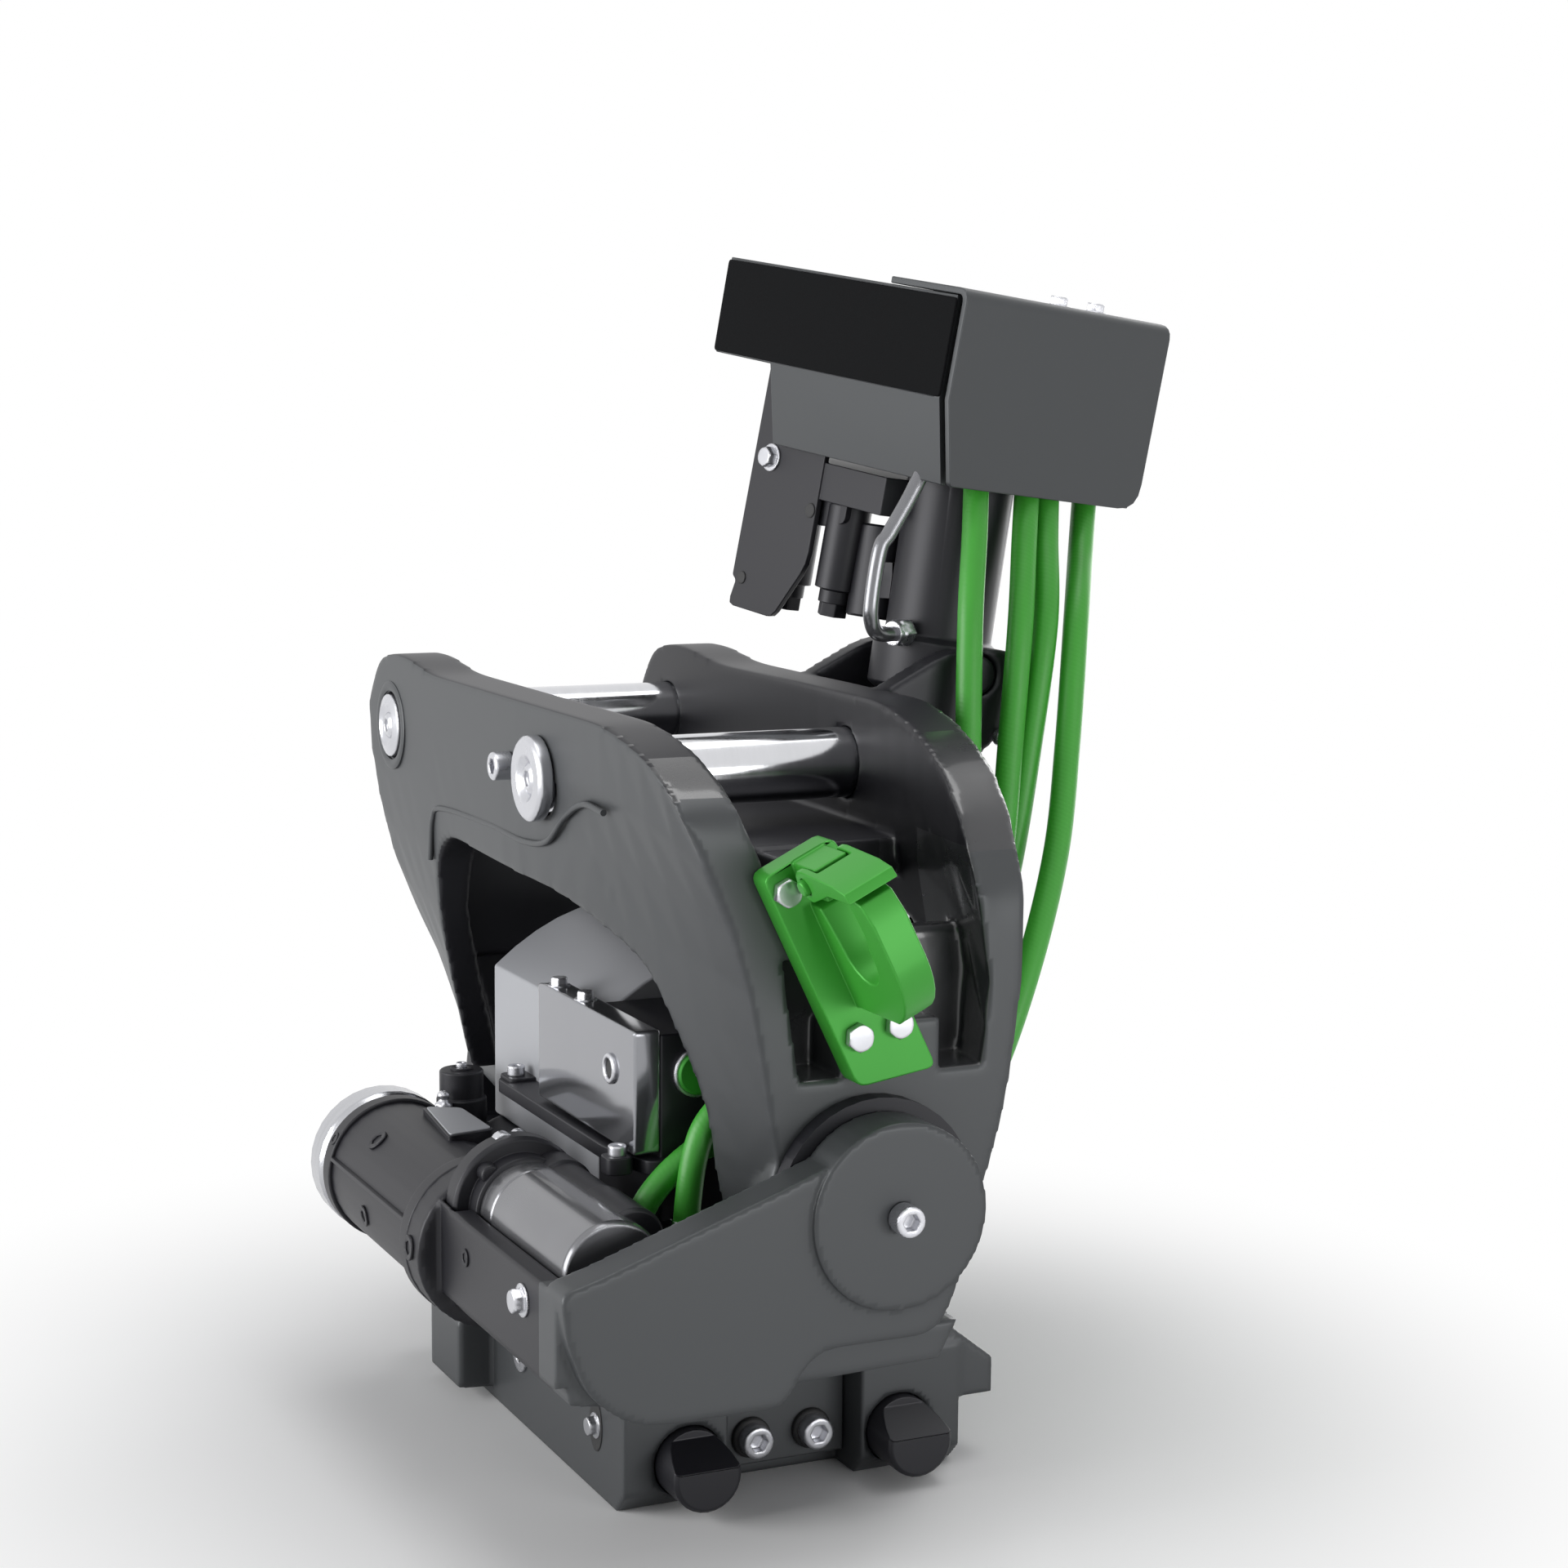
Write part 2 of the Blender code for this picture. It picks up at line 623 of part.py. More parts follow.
def tilt_faces(side):
    """How far out the hub's face and the eye's face lie on one side, and the eye's thickness."""
    if side < 0:
        return HITCH_FACE_Y, EYE_FACE_Y, EYE_THICKNESS
    return HITCH_REAR_FACE_Y, EYE_REAR_FACE_Y, EYE_REAR_THICKNESS


def make_tilt_joint(root, tilt):
    """Stub shafts, flanged bushes and end bolts of the tilt axis, at the front and the rear."""
    flange_radius = HUB_RADIUS - 0.001
    bore = TILT_RADIUS + RUNNING
    for side, word in ((-1, "front"), (1, "rear")):
        hub_face, eye_face, eye_thickness = tilt_faces(side)
        inner = hub_face - HUB_DEPTH + 0.002
        reach = hub_face + GAP - inner
        flange_end = eye_face - eye_thickness - GAP - inner
        start = (0, side * inner, TILT_HEIGHT)
        bush = turned([(bore, 0), (TILT_BUSH_RADIUS, 0), (TILT_BUSH_RADIUS, reach), (flange_radius, reach),
                       (flange_radius, flange_end), (bore, flange_end)], start, (0, side, 0), 36)
        finish(bush, word + "_tilt_bush", "bronze", parent=root)
        shaft = rod(TILT_RADIUS, start, (0, side * (eye_face - EYE_CAP - GAP), TILT_HEIGHT), 32, 0.001)
        bore_start = Vector((0, side * (eye_face + 0.002), TILT_HEIGHT))
        direction = Vector((0, -side, 0))
        cut(shaft, rod(TILT_BOLT / 2 + RUNNING, bore_start, bore_start + direction * 0.026, 16))
        finish(shaft, word + "_tilt_shaft", "steel", TILT_AXIS, tilt)
        bolt = socket_bolt(TILT_BOLT, 0.020, (0, side * (eye_face + GAP), TILT_HEIGHT), direction)
        finish(bolt, word + "_tilt_bolt", "steel", TILT_AXIS, tilt)


def eye_plate(side):
    """The gearbox casting's upright plate around one end of the tilt shaft."""
    face, thickness = tilt_faces(side)[1:]
    outer = side * face
    inner = side * (face - thickness)
    eye = rod(EYE_RADIUS, (0, outer, TILT_HEIGHT), (0, inner, TILT_HEIGHT), 40)
    tail_outer = side * (face - EYE_STEP)
    if side < 0:
        outline = [(BRACKET_X, 0.124), (BRACKET_X + 0.002, 0.106), (-0.124, 0.085), (-0.109, 0.073),
                   (-0.094, 0.070), (-0.047, 0.070), (-0.034, 0.090), (0.018, 0.090), (0.030, 0.118),
                   (-0.004, 0.170), (-0.032, 0.158), (-0.119, 0.128)]
        radii = [0.004, 0.006, 0.008, 0.008, 0.008, 0.006, 0.010, 0.010, 0, 0, 0.020, 0.010]
    else:
        outline = [(-0.042, HOUSING_BOTTOM), (0.042, HOUSING_BOTTOM), (0.038, 0.100), (0.0320, 0.150),
                   (-0.0320, 0.150), (-0.038, 0.100)]
        radii = [0.004, 0.004, 0.012, 0, 0, 0.012]
    tail = prism(rounded(outline, radii, 3), "Y", tail_outer, inner)
    return join(eye, tail)


def motor_place(y):
    """A point on the oil motor's axis, which sits above the worm's."""
    return (WORM_X + MOTOR_SHIFT, y, WORM_Z + MOTOR_RISE)


def make_housing(tilt):
    """The gearbox casting: round gear case, worm tube, floor webs, eye plates and the cylinder's lug."""
    body = turned([(0, HOUSING_BOTTOM), (HOUSING_RADIUS, HOUSING_BOTTOM),
                   (HOUSING_RADIUS, HOUSING_TOP - HOUSING_BEVEL),
                   (HOUSING_RADIUS - HOUSING_BEVEL, HOUSING_TOP), (0, HOUSING_TOP)], (0, 0, 0), (0, 0, 1), 48)
    web_top = TILT_HEIGHT - HUB_RADIUS - 0.004
    web_reach = EYE_FACE_Y - EYE_THICKNESS / 2
    rear_reach = EYE_REAR_FACE_Y - EYE_REAR_THICKNESS / 2
    front_web = prism([(BRACKET_X + 0.006, HOUSING_BOTTOM + 0.004), (-0.092, HOUSING_BOTTOM - 0.002),
                       (0.022, HOUSING_BOTTOM + 0.0015), (0.030, web_top), (BRACKET_X + 0.004, web_top)],
                      "Y", -web_reach, TUBE_FRONT_Y)
    rear_low = HOUSING_BOTTOM + 0.0015
    rear_outline = [(-0.038, rear_low), (0.038, rear_low), (0.036, web_top), (-0.036, web_top)]
    rear_web = prism(rear_outline, "Y", 0.060, rear_reach)
    tube = rod(TUBE_RADIUS, (WORM_X, TUBE_FRONT_Y, WORM_Z), (WORM_X, TUBE_REAR_Y, WORM_Z), 32)
    neck = box((WORM_X, -0.040), (TUBE_FRONT_Y + 0.004, 0.062), (HOUSING_BOTTOM + 0.001, HOUSING_TOP - 0.004))
    rail_outline = [(-web_reach, 0.086), (TUBE_FRONT_Y + 0.004, 0.086), (TUBE_FRONT_Y + 0.004, 0.124),
                    (-0.100, 0.122), (-web_reach, 0.122)]
    rail_x = BRACKET_X + 0.0005
    side_rail = prism(rounded(rail_outline, 0.004, 2), "X", rail_x, rail_x + RAIL_THICKNESS)
    seat_y = TUBE_FRONT_Y - MOTOR_SEAT
    flange = rod(TUBE_RADIUS + 0.003, (WORM_X, seat_y, WORM_Z), (WORM_X, TUBE_FRONT_Y + 0.016, WORM_Z), 32)
    join(body, front_web, rear_web, tube, neck, side_rail, flange, eye_plate(-1), eye_plate(1))
    lug_near = CYLINDER_Y + ROD_EYE_THICKNESS / 2 + RUNNING
    lug_outline = arc((ROD_PIN.x, ROD_PIN.z), ROD_EYE_RADIUS, -50, 150, 14)
    lug_outline += [(LUG_FOOT[0], HOUSING_TOP - 0.008), (LUG_FOOT[1], HOUSING_TOP - 0.008)]
    join(body, prism(lug_outline, "Y", lug_near, lug_near + LUG_THICKNESS))
    eye_room = box((LUG_FOOT[0] - 0.004, HOUSING_RADIUS + 0.03),
                   (CYLINDER_Y - ROD_EYE_THICKNESS / 2 - 0.003, lug_near),
                   (HOUSING_TOP - 0.006, HOUSING_TOP + 0.01))
    gear_room = rod(GEAR_ROOM_RADIUS, (0, 0, HOUSING_BOTTOM - 0.01), (0, 0, GEAR_CAVITY_TOP), 56)
    bearing_room = rod(BEARING_OUTER + GAP, (0, 0, GEAR_CAVITY_TOP - 0.002), (0, 0, NECK_TOP + RUNNING), 40)
    swivel_hole = rod(SWIVEL_RADIUS + RUNNING, (0, 0, NECK_TOP - 0.002), (0, 0, HOUSING_TOP + 0.01), 36)
    worm_bore = rod(WORM_BORE_RADIUS, (WORM_X, TUBE_FRONT_Y - 0.02, WORM_Z),
                    (WORM_X, TUBE_REAR_Y + 0.01, WORM_Z), 28)
    flange_room = rod(ROTOR_FLANGE_RADIUS + 0.002, (0, 0, COUPLER_TOP - 0.01),
                      (0, 0, HOUSING_BOTTOM - GAP / 3), 48)
    wide, narrow = MOTOR_FLANGE_RADIUS + RUNNING, MOTOR_RADIUS + RUNNING
    reach = EYE_FACE_Y - EYE_THICKNESS - 0.001 + seat_y
    motor_room = turned([(0, 0), (wide, 0), (wide, 0.014), (narrow, 0.014), (narrow, reach), (0, reach)],
                        motor_place(seat_y), (0, -1, 0), 32)
    cut(body, eye_room, gear_room, bearing_room, swivel_hole, worm_bore)
    cut(body, flange_room, motor_room)
    for side in (-1, 1):
        face, thickness = tilt_faces(side)[1:]
        stop = (0, side * (face - thickness - 0.01), TILT_HEIGHT)
        cut(body, rod(TILT_RADIUS + GAP, (0, side * (face - EYE_CAP), TILT_HEIGHT), stop, 32))
        cut(body, rod(TILT_BOLT / 2 + GAP, (0, side * (face + 0.01), TILT_HEIGHT), stop, 16))
    pin_start = (ROD_PIN.x, lug_near - 0.01, ROD_PIN.z)
    pin_stop = (ROD_PIN.x, lug_near + LUG_THICKNESS + 0.01, ROD_PIN.z)
    cut(body, rod(ROD_PIN_RADIUS + GAP, pin_start, pin_stop, 20))
    finish(body, "gearbox_housing", "paint", TILT_AXIS, tilt)


def gear_outline():
    """The worm wheel's outline, with straight flanks on its teeth."""
    points = []
    pitch = 2 * pi / GEAR_TEETH
    for tooth in range(GEAR_TEETH):
        base = tooth * pitch
        for share, depth in ((0.0, 0), (0.32, 0), (0.52, GEAR_TOOTH_DEPTH), (0.80, GEAR_TOOTH_DEPTH)):
            radius = GEAR_TIP_RADIUS - depth
            a = base + share * pitch
            points.append((radius * cos(a), radius * sin(a)))
    return points


def make_rotor(tilt, rotor):
    """The rotor hub with its worm wheel, bearings and seal, and the ring that closes the gear case."""
    bore = SWIVEL_RADIUS + RUNNING
    flange, top = ROTOR_FLANGE_RADIUS, ROTOR_FLANGE_TOP
    hub = turned([(0, COUPLER_TOP), (flange, COUPLER_TOP), (flange, top), (NECK_RADIUS, top),
                  (NECK_RADIUS, NECK_TOP), (bore, NECK_TOP), (bore, COUPLER_TOP + 0.003),
                  (0, COUPLER_TOP + 0.003)], (0, 0, 0), (0, 0, 1), 44)
    finish(hub, "rotor_hub", "paint", parent=rotor)
    gear_top = GEAR_BOTTOM + GEAR_WIDTH
    wheel = prism(gear_outline(), "Z", GEAR_BOTTOM, gear_top)
    cut(wheel, rod(NECK_RADIUS + GAP, (0, 0, GEAR_BOTTOM - 0.01), (0, 0, gear_top + 0.01), 48))
    finish(wheel, "worm_wheel", "bronze", parent=rotor)
    lower = HOUSING_BOTTOM + GAP
    for name, start in (("lower_bearing", lower), ("upper_bearing", NECK_TOP - BEARING_WIDTH)):
        bearing = sleeve(NECK_RADIUS + GAP, BEARING_OUTER, (0, 0, start), (0, 0, start + BEARING_WIDTH), 40)
        finish(bearing, name, "steel", parent=rotor)
    ring_top = GEAR_BOTTOM - RUNNING
    ring = sleeve(BEARING_OUTER + GAP, GEAR_ROOM_RADIUS - GAP, (0, 0, lower), (0, 0, ring_top), 48)
    finish(ring, "gear_case_ring", "steel", TILT_AXIS, tilt)
    seal = sleeve(GEAR_ROOM_RADIUS, HOUSING_RADIUS - 0.001, (0, 0, ROTOR_FLANGE_TOP + GAP),
                  (0, 0, HOUSING_BOTTOM - GAP), 48)
    finish(seal, "rotor_seal", "rubber", parent=rotor)
    swivel = rod(SWIVEL_RADIUS, (0, 0, COUPLER_TOP + 0.003 + RUNNING), (0, 0, VALVE_BOTTOM - GAP), 36)
    finish(swivel, "oil_swivel", "steel", TILT_AXIS, tilt)


def worm_mesh():
    """The worm as one closed skin whose radius follows the thread, with its shaft ends."""
    bm = bmesh.new()
    around = 16
    along = 36
    rings = []
    ends = WORM_HALF_LENGTH + 0.020
    stations = [(-ends - COUPLING_LENGTH, COUPLING_RADIUS), (-ends, COUPLING_RADIUS),
                (-ends, WORM_SHAFT_RADIUS), (-WORM_HALF_LENGTH, WORM_SHAFT_RADIUS)]
    stations += [(-WORM_HALF_LENGTH + 2 * WORM_HALF_LENGTH * i / along, None) for i in range(along + 1)]
    stations += [(WORM_HALF_LENGTH, WORM_SHAFT_RADIUS), (ends, WORM_SHAFT_RADIUS)]
    for y, plain in stations:
        ring = []
        for i in range(around):
            a = 2 * pi * i / around
            turn = (y / WORM_PITCH - a / (2 * pi)) % 1.0
            height = max(0.0, min(1.0, 2.2 - 4.4 * abs(turn - 0.5)))
            thread = WORM_ROOT_RADIUS + (WORM_TIP_RADIUS - WORM_ROOT_RADIUS) * height
            radius = plain or thread
            ring.append(bm.verts.new((WORM_X + radius * cos(a), y, WORM_Z + radius * sin(a))))
        rings.append(ring)
    for a, b in zip(rings, rings[1:]):
        for i in range(around):
            j = (i + 1) % around
            bm.faces.new((a[i], a[j], b[j], b[i]))
    bm.faces.new(rings[0])
    bm.faces.new(rings[-1])
    return to_object(bm)


def make_worm_drive(tilt, worm):
    """The worm, its bearings, the end cap and the oil motor."""
    centre = (WORM_X, 0, WORM_Z)
    finish(worm_mesh(), "worm", "steel", centre, worm)
    for side, word in ((-1, "front"), (1, "rear")):
        near = side * (WORM_HALF_LENGTH + 0.004)
        far = side * (WORM_HALF_LENGTH + 0.016)
        bearing = sleeve(WORM_SHAFT_RADIUS + GAP, WORM_BORE_RADIUS - GAP, (WORM_X, near, WORM_Z),
                         (WORM_X, far, WORM_Z), 24)
        finish(bearing, word + "_worm_bearing", "steel", TILT_AXIS, tilt)
    rim = TUBE_RADIUS + 0.002
    profile = [(0, 0), (TUBE_RADIUS - 0.001, 0), (rim, 0.003), (rim, CAP_LENGTH - 0.004),
               (rim - 0.004, CAP_LENGTH), (0, CAP_LENGTH)]
    cap = turned(profile, (WORM_X, TUBE_REAR_Y + GAP, WORM_Z), (0, 1, 0), 32)
    finish(cap, "worm_end_cap", "steel", TILT_AXIS, tilt)
    motor_start = TUBE_FRONT_Y - MOTOR_SEAT - GAP
    length = EYE_FACE_Y - EYE_THICKNESS - 0.002 + motor_start
    motor = turned([(0, 0), (MOTOR_FLANGE_RADIUS, 0), (MOTOR_FLANGE_RADIUS, 0.010), (MOTOR_RADIUS, 0.013),
                    (MOTOR_RADIUS, length), (0, length)], motor_place(motor_start), (0, -1, 0), 28)
    finish(motor, "oil_motor", "black_paint", TILT_AXIS, tilt)


def make_valves(tilt):
    """The oil distribution block on the gearbox, with its arched rear cover and its side cover."""
    split = -0.055
    half = VALVE_HALF_WIDTH
    eaves = VALVE_TOP - 0.004
    roof = [(half, VALVE_BOTTOM), (half, eaves)]
    steps = 12
    for i in range(1, steps):
        share = 1 - 2 * i / steps
        roof.append((half * share, eaves + (VALVE_COVER_TOP - eaves) * (1 - share * share)))
    roof += [(-half, eaves), (-half, VALVE_BOTTOM)]
    rear = prism(roof, "Y", split + GAP, VALVE_REAR_Y)
    finish(rear, "valve_block_rear", "grey_paint", TILT_AXIS, tilt)
    front = box((-half, half), (VALVE_FRONT_Y, split), (VALVE_BOTTOM, VALVE_TOP + 0.004))
    finish(front, "valve_block_front", "black_paint", TILT_AXIS, tilt)
    side = prism(rounded([(VALVE_FRONT_Y, VALVE_BOTTOM + 0.006), (-0.014, VALVE_BOTTOM + 0.006),
                          (-0.014, VALVE_TOP + 0.006), (VALVE_FRONT_Y, VALVE_TOP + 0.006)], 0.004, 2),
                 "X", -half - 0.011, -half - GAP)
    finish(side, "valve_side_cover", "grey_paint", TILT_AXIS, tilt)
    plug_x, plug_z = -0.045, 0.178
    seat = (plug_x, VALVE_FRONT_Y - GAP, plug_z)
    plug = rod(0.0085, seat, (plug_x, VALVE_FRONT_Y - 0.004, plug_z), 24, 0.001)
    finish(plug, "valve_port_plug", "green_paint", TILT_AXIS, tilt)


def make_coupler(rotor):
    """The coupler frame under the rotor, with its hooks, covers and side wings."""
    half = COUPLER_HALF_WIDTH
    top = COUPLER_TOP - GAP
    front = COUPLER_FRONT_Y
    rear = COUPLER_REAR_Y
    profile = [(front, 0.008), (front + 0.008, 0), (rear - 0.020, 0), (rear - 0.004, 0.002),
               (rear + 0.006, 0.010), (rear + 0.006, 0.038), (rear - 0.006, top), (front + 0.012, top),
               (front, top - 0.010)]
    body = prism(profile, "X", -half, half)
    reach = WING_HALF_WIDTH
    wing = prism([(half - 0.01, 0.022), (half + 0.001, 0.028), (reach, 0.028), (reach, 0.043),
                  (half - 0.006, 0.0605), (half - 0.014, 0.060)], "Y", front + 0.001, front + 0.036)
    ear = prism([(-half + 0.01, 0.004), (-reach, 0.006), (-reach, 0.036), (-half - 0.004, 0.042),
                 (-half + 0.01, 0.042)], "Y", 0.033, 0.072)
    join(body, wing, ear)
    cavity_half = LOCK_PIN_X + LOCK_PIN_RADIUS + 0.0035
    cavity = box((-cavity_half, cavity_half), (front + 0.040, 0.058), (-0.01, CAVITY_HEIGHT))
    recess = box((-0.030, 0.030), (front - 0.01, front + 0.0245), (-0.01, 0.048))
    hook_gap = box((-0.040, 0.040), (0.072, rear + 0.03), (-0.01, 0.048))
    bar_y = rear - 0.006
    bar_reach = half + 0.02
    bar_seat = rod(PIN_RADIUS + RUNNING, (-bar_reach, bar_y, BAR_HEIGHT), (bar_reach, bar_y, BAR_HEIGHT), 32)
    bar_mouth = box((-bar_reach, bar_reach), (bar_y, rear + 0.03),
                    (BAR_HEIGHT - PIN_RADIUS - RUNNING / 2, BAR_HEIGHT + PIN_RADIUS + RUNNING / 2))
    cut(body, cavity, recess, hook_gap, bar_seat, bar_mouth)
    for side in (-1, 1):
        start = Vector((side * LOCK_PIN_X, front - 0.02, LOCK_PIN_Z))
        cut(body, rod(LOCK_PIN_RADIUS + RUNNING, start, start + Vector((0, 0.07, 0)), 28))
    finish(body, "coupler_frame", "paint", parent=rotor)
    cover = box((-0.0295, 0.0295), (front + 0.0160, front + 0.0242), (0.007, 0.0475))
    finish(cover, "coupler_front_cover", "paint", parent=rotor)
    for x, word in ((-0.013, "left"), (0.014, "right")):
        screw = socket_bolt(0.009, 0.0, (x, front + 0.0160 - GAP, LOCK_PIN_Z), (0, 1, 0))
        finish(screw, "front_cover_screw_" + word, "steel", parent=rotor)
    plate = box((-cavity_half + GAP, cavity_half - GAP), (-0.036, 0.058 - GAP), (0, 0.005))
    finish(plate, "coupler_bottom_plate", "paint", parent=rotor)


def make_lock(rotor, lock):
    """The two lock pins, the yoke that joins them with its rod and the small cylinder that drives them."""
    front = COUPLER_FRONT_Y
    back = front + 0.060
    origin = (0, back, LOCK_PIN_Z)
    for side, word in ((-1, "left"), (1, "right")):
        x = side * LOCK_PIN_X
        pin = rod(LOCK_PIN_RADIUS, (x, front - LOCK_PIN_REACH, LOCK_PIN_Z), (x, back, LOCK_PIN_Z), 28, 0.0015)
        nose = front - LOCK_PIN_REACH - 0.01
        ramp = [(nose, LOCK_PIN_Z - 0.002), (nose, 0.06), (front - 0.004, 0.06),
                (front - 0.004, LOCK_PIN_Z + 0.011)]
        cut(pin, prism(ramp, "X", x - 0.02, x + 0.02))
        finish(pin, "lock_pin_" + word, "black_paint", origin, lock)
    yoke = box((-0.060, 0.060), (back + GAP, back + 0.014), (0.013, 0.037))
    barrel_front = back + 0.014 + LOCK_TRAVEL + 0.004
    stem_end = barrel_front + 0.014
    join(yoke, rod(LOCK_ROD_RADIUS, (0, back + 0.010, LOCK_PIN_Z), (0, stem_end, LOCK_PIN_Z), 20))
    finish(yoke, "lock_yoke", "steel", origin, lock)
    barrel = rod(0.0133, (0, barrel_front, LOCK_PIN_Z), (0, 0.058 - GAP, LOCK_PIN_Z), 28)
    room_end = stem_end + LOCK_TRAVEL + 0.003
    room_start = barrel_front - 0.01
    cut(barrel, rod(LOCK_ROD_RADIUS + RUNNING, (0, room_start, LOCK_PIN_Z), (0, room_end, LOCK_PIN_Z), 20))
    finish(barrel, "lock_cylinder_barrel", "steel", parent=rotor)


def boxed(item):
    """Move a shape that was modelled in the cover's own directions to its place."""
    item.data.transform(Matrix.Translation(Vector(BOX_CORNER)) @ BOX_FRAME)
    return item


def along_cylinder(distance):
    """A point on the tilt cylinder's axis, measured up from its trunnions."""
    return CYLINDER_PIVOT + CYLINDER_AXIS * distance


def make_cylinder(tilt, barrel_body, rod_body):
    """The tilt cylinder: barrel with trunnions and head, gland, piston, rod and the pins at its eye."""
    half_collar = COLLAR_HEIGHT / 2
    low, top = -BARREL_BELOW, BARREL_ABOVE
    edge = 0.003
    profile = [(0, low), (BARREL_RADIUS, low), (BARREL_RADIUS, -half_collar),
               (COLLAR_RADIUS, -half_collar + edge), (COLLAR_RADIUS, half_collar - edge),
               (BARREL_RADIUS, half_collar), (BARREL_RADIUS, top), (0, top)]
    barrel = turned(profile, CYLINDER_PIVOT, CYLINDER_AXIS, 32)
    cut(barrel, rod(BORE_RADIUS, along_cylinder(low - 0.01), along_cylinder(top - BARREL_END), 32))
    for side in (-1, 1):
        reach = Vector((0, side * (COLLAR_RADIUS + TRUNNION_EAR), 0))
        start = Vector((0, side * (BORE_RADIUS + 0.0015), 0))
        join(barrel, rod(TRUNNION_RADIUS, CYLINDER_PIVOT + start, CYLINDER_PIVOT + reach, 20, 0.001))
    stand = boxed(box((0.033, 0.073), (0.022, 0.060), (-0.044, -0.0100)))
    inset = BOX_SHEET + GAP
    carrier = boxed(box((inset, BOX_WIDTH - inset), (0.024, 0.100), (-0.0135, -inset)))
    join(barrel, join(stand, carrier))
    finish(barrel, "tilt_cylinder_barrel", "black_paint", CYLINDER_PIVOT, barrel_body)
    spigot = BORE_RADIUS - GAP
    gland = turned([(ROD_RADIUS + RUNNING, 0), (BARREL_RADIUS, 0), (BARREL_RADIUS, 0.006), (spigot, 0.006),
                    (spigot, 0.020), (ROD_RADIUS + RUNNING, 0.020)],
                   along_cylinder(low - 0.006 - GAP), CYLINDER_AXIS, 28)
    finish(gland, "tilt_cylinder_gland", "steel", CYLINDER_PIVOT, barrel_body)

    piston_low = PISTON_REACH - ROD_REACH
    stem = ROD_RADIUS * 0.6
    shaft = turned([(0, 0), (ROD_RADIUS, 0), (ROD_RADIUS, PISTON_REACH), (stem, PISTON_REACH),
                    (stem, PISTON_REACH + 0.019), (0, PISTON_REACH + 0.019)], ROD_PIN, CYLINDER_AXIS, 28)
    along_y = Vector((0, 1, 0))
    eye_near = ROD_PIN - along_y * ROD_EYE_THICKNESS / 2
    eye_far = ROD_PIN + along_y * ROD_EYE_THICKNESS / 2
    join(shaft, rod(ROD_EYE_RADIUS, eye_near, eye_far, 32, 0.001))
    cut(shaft, rod(ROD_PIN_RADIUS + GAP, eye_near - along_y * 0.01, eye_far + along_y * 0.01, 24))
    finish(shaft, "tilt_cylinder_rod", "chrome", ROD_PIN, rod_body)
    piston = sleeve(stem + GAP, BORE_RADIUS - GAP, along_cylinder(piston_low + GAP),
                    along_cylinder(piston_low + 0.018), 28)
    finish(piston, "tilt_piston", "steel", ROD_PIN, rod_body)
    head_radius = ROD_PIN_RADIUS + 0.0045
    stub = join(rod(ROD_PIN_RADIUS, eye_near - along_y * 0.002, eye_far - along_y * GAP, 24),
                rod(head_radius, eye_near - along_y * 0.005, eye_near - along_y * GAP, 28, 0.001))
    finish(stub, "rod_eye_pin", "steel", ROD_PIN, rod_body)
    lug_start = eye_far + along_y * (RUNNING + GAP)
    lug_stop = eye_far + along_y * (RUNNING + LUG_THICKNESS)
    lug_pin = join(rod(ROD_PIN_RADIUS, lug_start, lug_stop + along_y * 0.002, 24),
                   rod(head_radius, lug_stop + along_y * GAP, lug_stop + along_y * 0.005, 28, 0.001))
    finish(lug_pin, "lug_pin", "steel", TILT_AXIS, tilt)


def cover_section(depth, skirt):
    """The rear cover's section across its length: skirt is how far the left side tucks in below the strip."""
    sheet, width = BOX_SHEET, BOX_WIDTH
    tuck = BOX_TUCK * skirt
    outside = [(width, 0), (0, 0), (0, -BOX_STRIP)]
    inside = [(sheet, -BOX_STRIP), (sheet, -sheet), (width - sheet, -sheet)]
    if skirt:
        outside.append((tuck, -depth))
        inside.insert(0, (tuck + sheet, -depth))
    return outside + inside + [(width - sheet, -depth), (width, -depth)]


